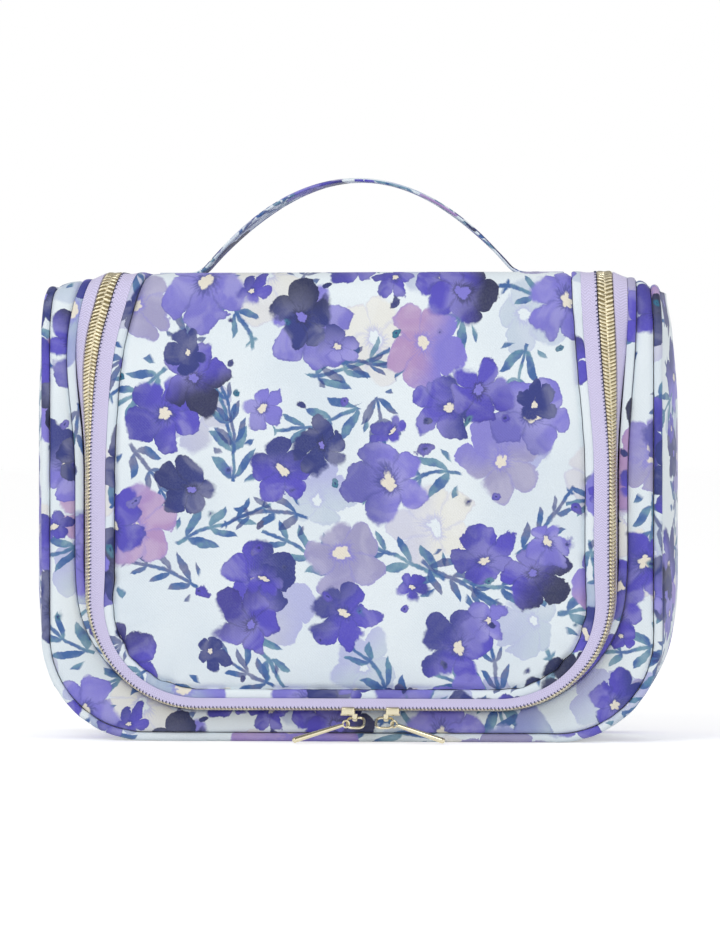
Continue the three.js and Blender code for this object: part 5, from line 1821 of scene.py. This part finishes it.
class BAG_OT_hook(bpy.types.Operator):
    """Makes the tab, webbing loop, ring, swivel and hook that the open bag hangs from"""

    bl_idname = "bag.hook"
    bl_label = "Hanging hook"

    def execute(self, context):
        tab_low, tab_high = box_mm("hook_tab")
        ring_low, ring_high = box_mm("hook_ring")
        y = (ring_low[1] + ring_high[1]) / 2
        self.tab(tab_low, tab_high)
        self.webbing(tab_low, tab_high, y, ring_low[2] + 1)
        self.ring(y, ring_low, ring_high)
        self.swivel_and_hook(y, ring_high[2])
        return {"FINISHED"}

    def tab(self, low, high):
        tab = cloth_uv(cast_block("hook_tab_cloth", low, high, 0.55, [((0, 1, 0), (0.94, 1, 0.9))]))
        place(tab, "webbing", "front_lid", "hook_tab")
        left, right = low[0] + TAB_SEAM, high[0] - TAB_SEAM
        under, over = low[2] + TAB_SEAM, high[2] - TAB_SEAM
        corners = [(left, under), (right, under), (right, over), (left, over)]
        places, runs = [], []
        for first, second in ((0, 1), (1, 2), (2, 3), (3, 0), (0, 2), (1, 3)):
            start, end = corners[first], corners[second]
            run = np.array([end[0] - start[0], 0, end[1] - start[1]])
            length = np.linalg.norm(run)
            for share in (np.arange(0.9, length, 1.8)) / length:
                places.append(np.array([start[0], high[1], start[1]]) + run * share)
                runs.append(run / length)
        run = np.array(runs)
        up = np.tile([0.0, 1.0, 0.0], (len(run), 1))
        axes = np.stack([run, np.cross(up, run), up], axis=1)
        stitches = repeat("hook_tab_stitches", drawn_rod(STITCH_SECTIONS, 5), np.array(places), axes)
        place(stitches, "pale_thread", "front_lid")

    def webbing(self, tab_low, tab_high, bar_y, bar_z):
        """A loop of flat webbing that leaves the tab, goes round the ring's lower bar and comes back."""
        inner = tab_high[1] - 0.5
        turn = np.linspace(math.pi, 0, 12)
        line = np.concatenate([
            [(inner - 0.8, tab_low[2] + 2.5), (inner - 0.8, tab_high[2] - 0.5),
             (inner - 0.3, tab_high[2] + 3)],
            pack(bar_y + WEB_TURN * np.cos(turn), bar_z + WEB_TURN * np.sin(turn)),
            [(inner + 0.7, tab_high[2] + 3), (inner, tab_high[2] - 0.5), (inner, tab_low[2] + 2.5)]])
        line = evened(line, 120, 4)
        run = unit(np.gradient(line, axis=0))
        side = pack(-run[:, 1], run[:, 0])
        x = WEB_HALF * np.array([-1, -0.9, 0, 0.9, 1, 0.9, 0, -0.9])
        rise = WEB_THICK / 2 * np.array([0, 0.9, 1, 0.9, 0, -0.9, -1, -0.9])
        rings = pack(x, line[:, :1] + side[:, :1] * rise, line[:, 1:] + side[:, 1:] * rise)
        loop = tube("hook_webbing_loop", rings, angle=50)
        pivot = tab_high[2] + 3.2
        bend = ("front_lid", "hook_strap", (0, inner, pivot - 3), (0, inner, pivot + 3))
        place(loop, "webbing", bend, "hook_webbing")

    def ring(self, y, low, high):
        loop = rounded_loop(high[0] - low[0] - 2 * RING_WIRE, high[2] - low[2] - 2 * RING_WIRE, 1.6)
        line = [(x, y, (low[2] + high[2]) / 2 + z) for x, z in loop]
        place(wire("hook_wire_ring", line, RING_WIRE), "metal", "hook_strap", "hook_ring")

    def swivel_and_hook(self, y, base):
        up = Vector((0, 0, 1))
        swivel = turned_rod("hook_swivel_barrel", SWIVEL_SHAPE, Vector((0, y, base - 0.6)), up)
        place(swivel, "metal", "hook_strap", "hook_swivel")
        foot = base + COLLAR_RISE
        crest = box_mm("hook")[1][2] - HOOK_BEND - HOOK_WIRE
        line = [(0, y, z) for z in np.linspace(foot, crest, 6)[:-1]]
        line += [(HOOK_BEND - HOOK_BEND * math.cos(a), y, crest + HOOK_BEND * math.sin(a))
                 for a in np.linspace(0, math.pi, 28)]
        line += [(2 * HOOK_BEND, y, crest - z) for z in (2.0, 4.0, HOOK_TIP - 1)]
        rod = wire("hook_rod", line, HOOK_WIRE, closed=False, sides=5)
        ball = [(math.cos(a) * KNOB_RADIUS + KNOB_RADIUS, math.sin(a) * KNOB_RADIUS)
                for a in np.linspace(math.pi, 0, 12)]
        knob = turned_rod("hook_knob", ball, Vector((2 * HOOK_BEND, y, crest - HOOK_TIP - 1.4)), up)
        foot_collar = turned_rod("hook_collar", COLLAR_SHAPE, Vector((0, y, foot)), up)
        place(join("hook_bent_wire", [rod, knob, foot_collar]), "metal", "hook_wire", "hook")


class BAG_OT_zip_ends(bpy.types.Operator):
    """Makes the cloth tabs that cover the two rear ends of the zip"""

    bl_idname = "bag.zip_ends"
    bl_label = "Zip end tabs"

    def execute(self, context):
        low = -ROW_WIDTH - ROW_GAP
        high = OUTER_BINDING_START[0]
        v = np.linspace(TOP_END - 1.5, BACK_START + 1.5, 30)[:, None]
        share = np.array([0, 0, 0.06, 0.2, 0.5, 0.8, 0.94, 1, 1])
        rise = np.array([0.2, 0.8, 1.3, 1.55, 1.65, 1.55, 1.3, 0.8, 0.2])
        ends = np.clip(np.minimum(v - v[0], v[-1] - v) / 1.2, 0, 1) ** 0.5
        for side, word in SIDES:
            x = abs(Station([side * S_END]).x[0, 0]) + low + (high - low) * share
            n = 0.1 + rise * (0.35 + 0.65 * ends) * (2.3 - 1.3 * smooth(v, TOP_END + 1, TOP_END + 9))
            tab = tube(f"zip_end_cloth_{word}", wrap(side * x, v, n), v[:, 0], 60)
            place(tab, "outer_cloth", "bag_body", f"zip_end_tab_{word}")
        return {"FINISHED"}


# Studio

IMAGE_WIDTH, IMAGE_HEIGHT = 720, 928
VIEW_WIDTH_MM = 272.4
VIEW_CENTRE = (3.8, 105.1)
FLOOR_GLOW = 0.36  # lifts the floor to white where it is seen straight on or mirrored
ROOM_LIGHT, ROOM_SEEN = 0.72, 1.0  # strength of the world on the bag, and as it is seen
# What metal mirrors grows dimmer away from eye level: heights of the view's direction, then strengths
DIM_START, DIM_END, EYE_LEVEL, OVERHEAD = 0.08, 0.5, 1.1, 0.22
LAMPS = (("key", (-0.9, -1.5, 1.35), 1.2, 13.0), ("fill", (1.3, -1.2, 0.6), 1.4, 4.0))  # place, size, power


class BAG_OT_studio(bpy.types.Operator):
    """Makes the pale floor, the soft lights and the camera"""

    bl_idname = "bag.studio"
    bl_label = "Studio"

    def execute(self, context):
        self.backdrop()
        self.lights()
        self.camera()
        return {"FINISHED"}

    def backdrop(self):
        bpy.ops.mesh.primitive_plane_add(size=200.0, location=(0, 0, 0))
        floor = bpy.context.object
        floor.name = "floor"

        def glow(add):
            seen = add("LIGHT_PATH")
            share = add("MAXIMUM", seen, seen.node.outputs["Is Glossy Ray"])
            return {"Emission Strength": add("MULTIPLY", share, FLOOR_GLOW)}
        floor.data.materials.append(surface("pale_paper", colours().floor, 0.9, glow))
        world = bpy.data.worlds.new("studio")
        bpy.context.scene.world = world
        world.use_nodes = True
        tree = world.node_tree
        add = partial(add_node, tree)
        path = add("LIGHT_PATH").node.outputs
        shown = add("MAXIMUM", path["Is Camera Ray"], path["Is Glossy Ray"])
        shown = add("MAXIMUM", shown, path["Is Transmission Ray"])
        strength = add("RANGE", shown, 0, 1, ROOM_LIGHT, ROOM_SEEN)
        looking = add("DIRECTION")
        parts = add("SEPARATE_XYZ", looking).node.outputs
        height = add("ABSOLUTE", parts[2])
        dim_room = add("RANGE", height, DIM_START, DIM_END, EYE_LEVEL, OVERHEAD)
        mirrored = add("MIX_VALUE", path["Is Glossy Ray"], 1.0, dim_room)
        strength = add("MULTIPLY", strength, mirrored)
        tree.links.new(strength, tree.nodes["Background"].inputs["Strength"])
        tree.nodes["Background"].inputs["Color"].default_value = (1, 1, 1, 1)

    def lights(self):
        for name, place_m, size, power in LAMPS:
            light = bpy.data.lights.new(name, "AREA")
            light.size = size
            light.energy = power
            lamp = linked(name, light)
            lamp.location = place_m
            lamp.rotation_euler = (Vector((0, 0, 0.1)) - Vector(place_m)).to_track_quat("-Z", "Y").to_euler()

    def camera(self):
        data = bpy.data.cameras.new("camera")
        camera = linked("camera", data)
        distance, turn = sizes().camera_distance, sizes().camera_turn
        data.sensor_width = 36.0
        data.lens = data.sensor_width * distance / (VIEW_WIDTH_MM * MM * IMAGE_HEIGHT / IMAGE_WIDTH)
        aim = Vector((VIEW_CENTRE[0] * MM, FRONT_Y * MM, VIEW_CENTRE[1] * MM))
        back = Vector((math.sin(turn), -math.cos(turn), 0))
        camera.location = aim + back * distance
        camera.rotation_euler = (-back).to_track_quat("-Z", "Y").to_euler()
        data.clip_end = 100
        bpy.context.scene.camera = camera
        bpy.context.scene.view_settings.view_transform = "Standard"


OPERATORS = (BAG_OT_materials, BAG_OT_lid_cloth, BAG_OT_strips, BAG_OT_coil, BAG_OT_body_cloth,
             BAG_OT_handle, BAG_OT_sliders, BAG_OT_foam, BAG_OT_pockets, BAG_OT_hook,
             BAG_OT_zip_ends, BAG_OT_studio)


class BAG_PT_panel(bpy.types.Panel):
    """Lists the steps that make the bag"""

    bl_label = "Toiletry bag"
    bl_idname = "BAG_PT_panel"
    bl_space_type = "VIEW_3D"
    bl_region_type = "UI"
    bl_category = "Toiletry bag"

    def draw(self, context):
        for group in (context.scene.bag_sizes, context.scene.bag_colours):
            for name in group.bl_rna.properties.keys():
                if name not in ("rna_type", "name"):
                    self.layout.prop(group, name)
        for operator in OPERATORS:
            self.layout.operator(operator.bl_idname)


CLASSES = (BagSizes, BagColours, *OPERATORS, BAG_PT_panel)


def register():
    for cls in CLASSES:
        bpy.utils.register_class(cls)
    bpy.types.Scene.bag_sizes = PointerProperty(type=BagSizes)
    bpy.types.Scene.bag_colours = PointerProperty(type=BagColours)


def unregister():
    del bpy.types.Scene.bag_colours
    del bpy.types.Scene.bag_sizes
    for cls in reversed(CLASSES):
        bpy.utils.unregister_class(cls)


def main():
    register()
    for operator in OPERATORS:
        group, name = operator.bl_idname.split(".")
        getattr(getattr(bpy.ops, group), name)()


if __name__ == "__main__":
    main()
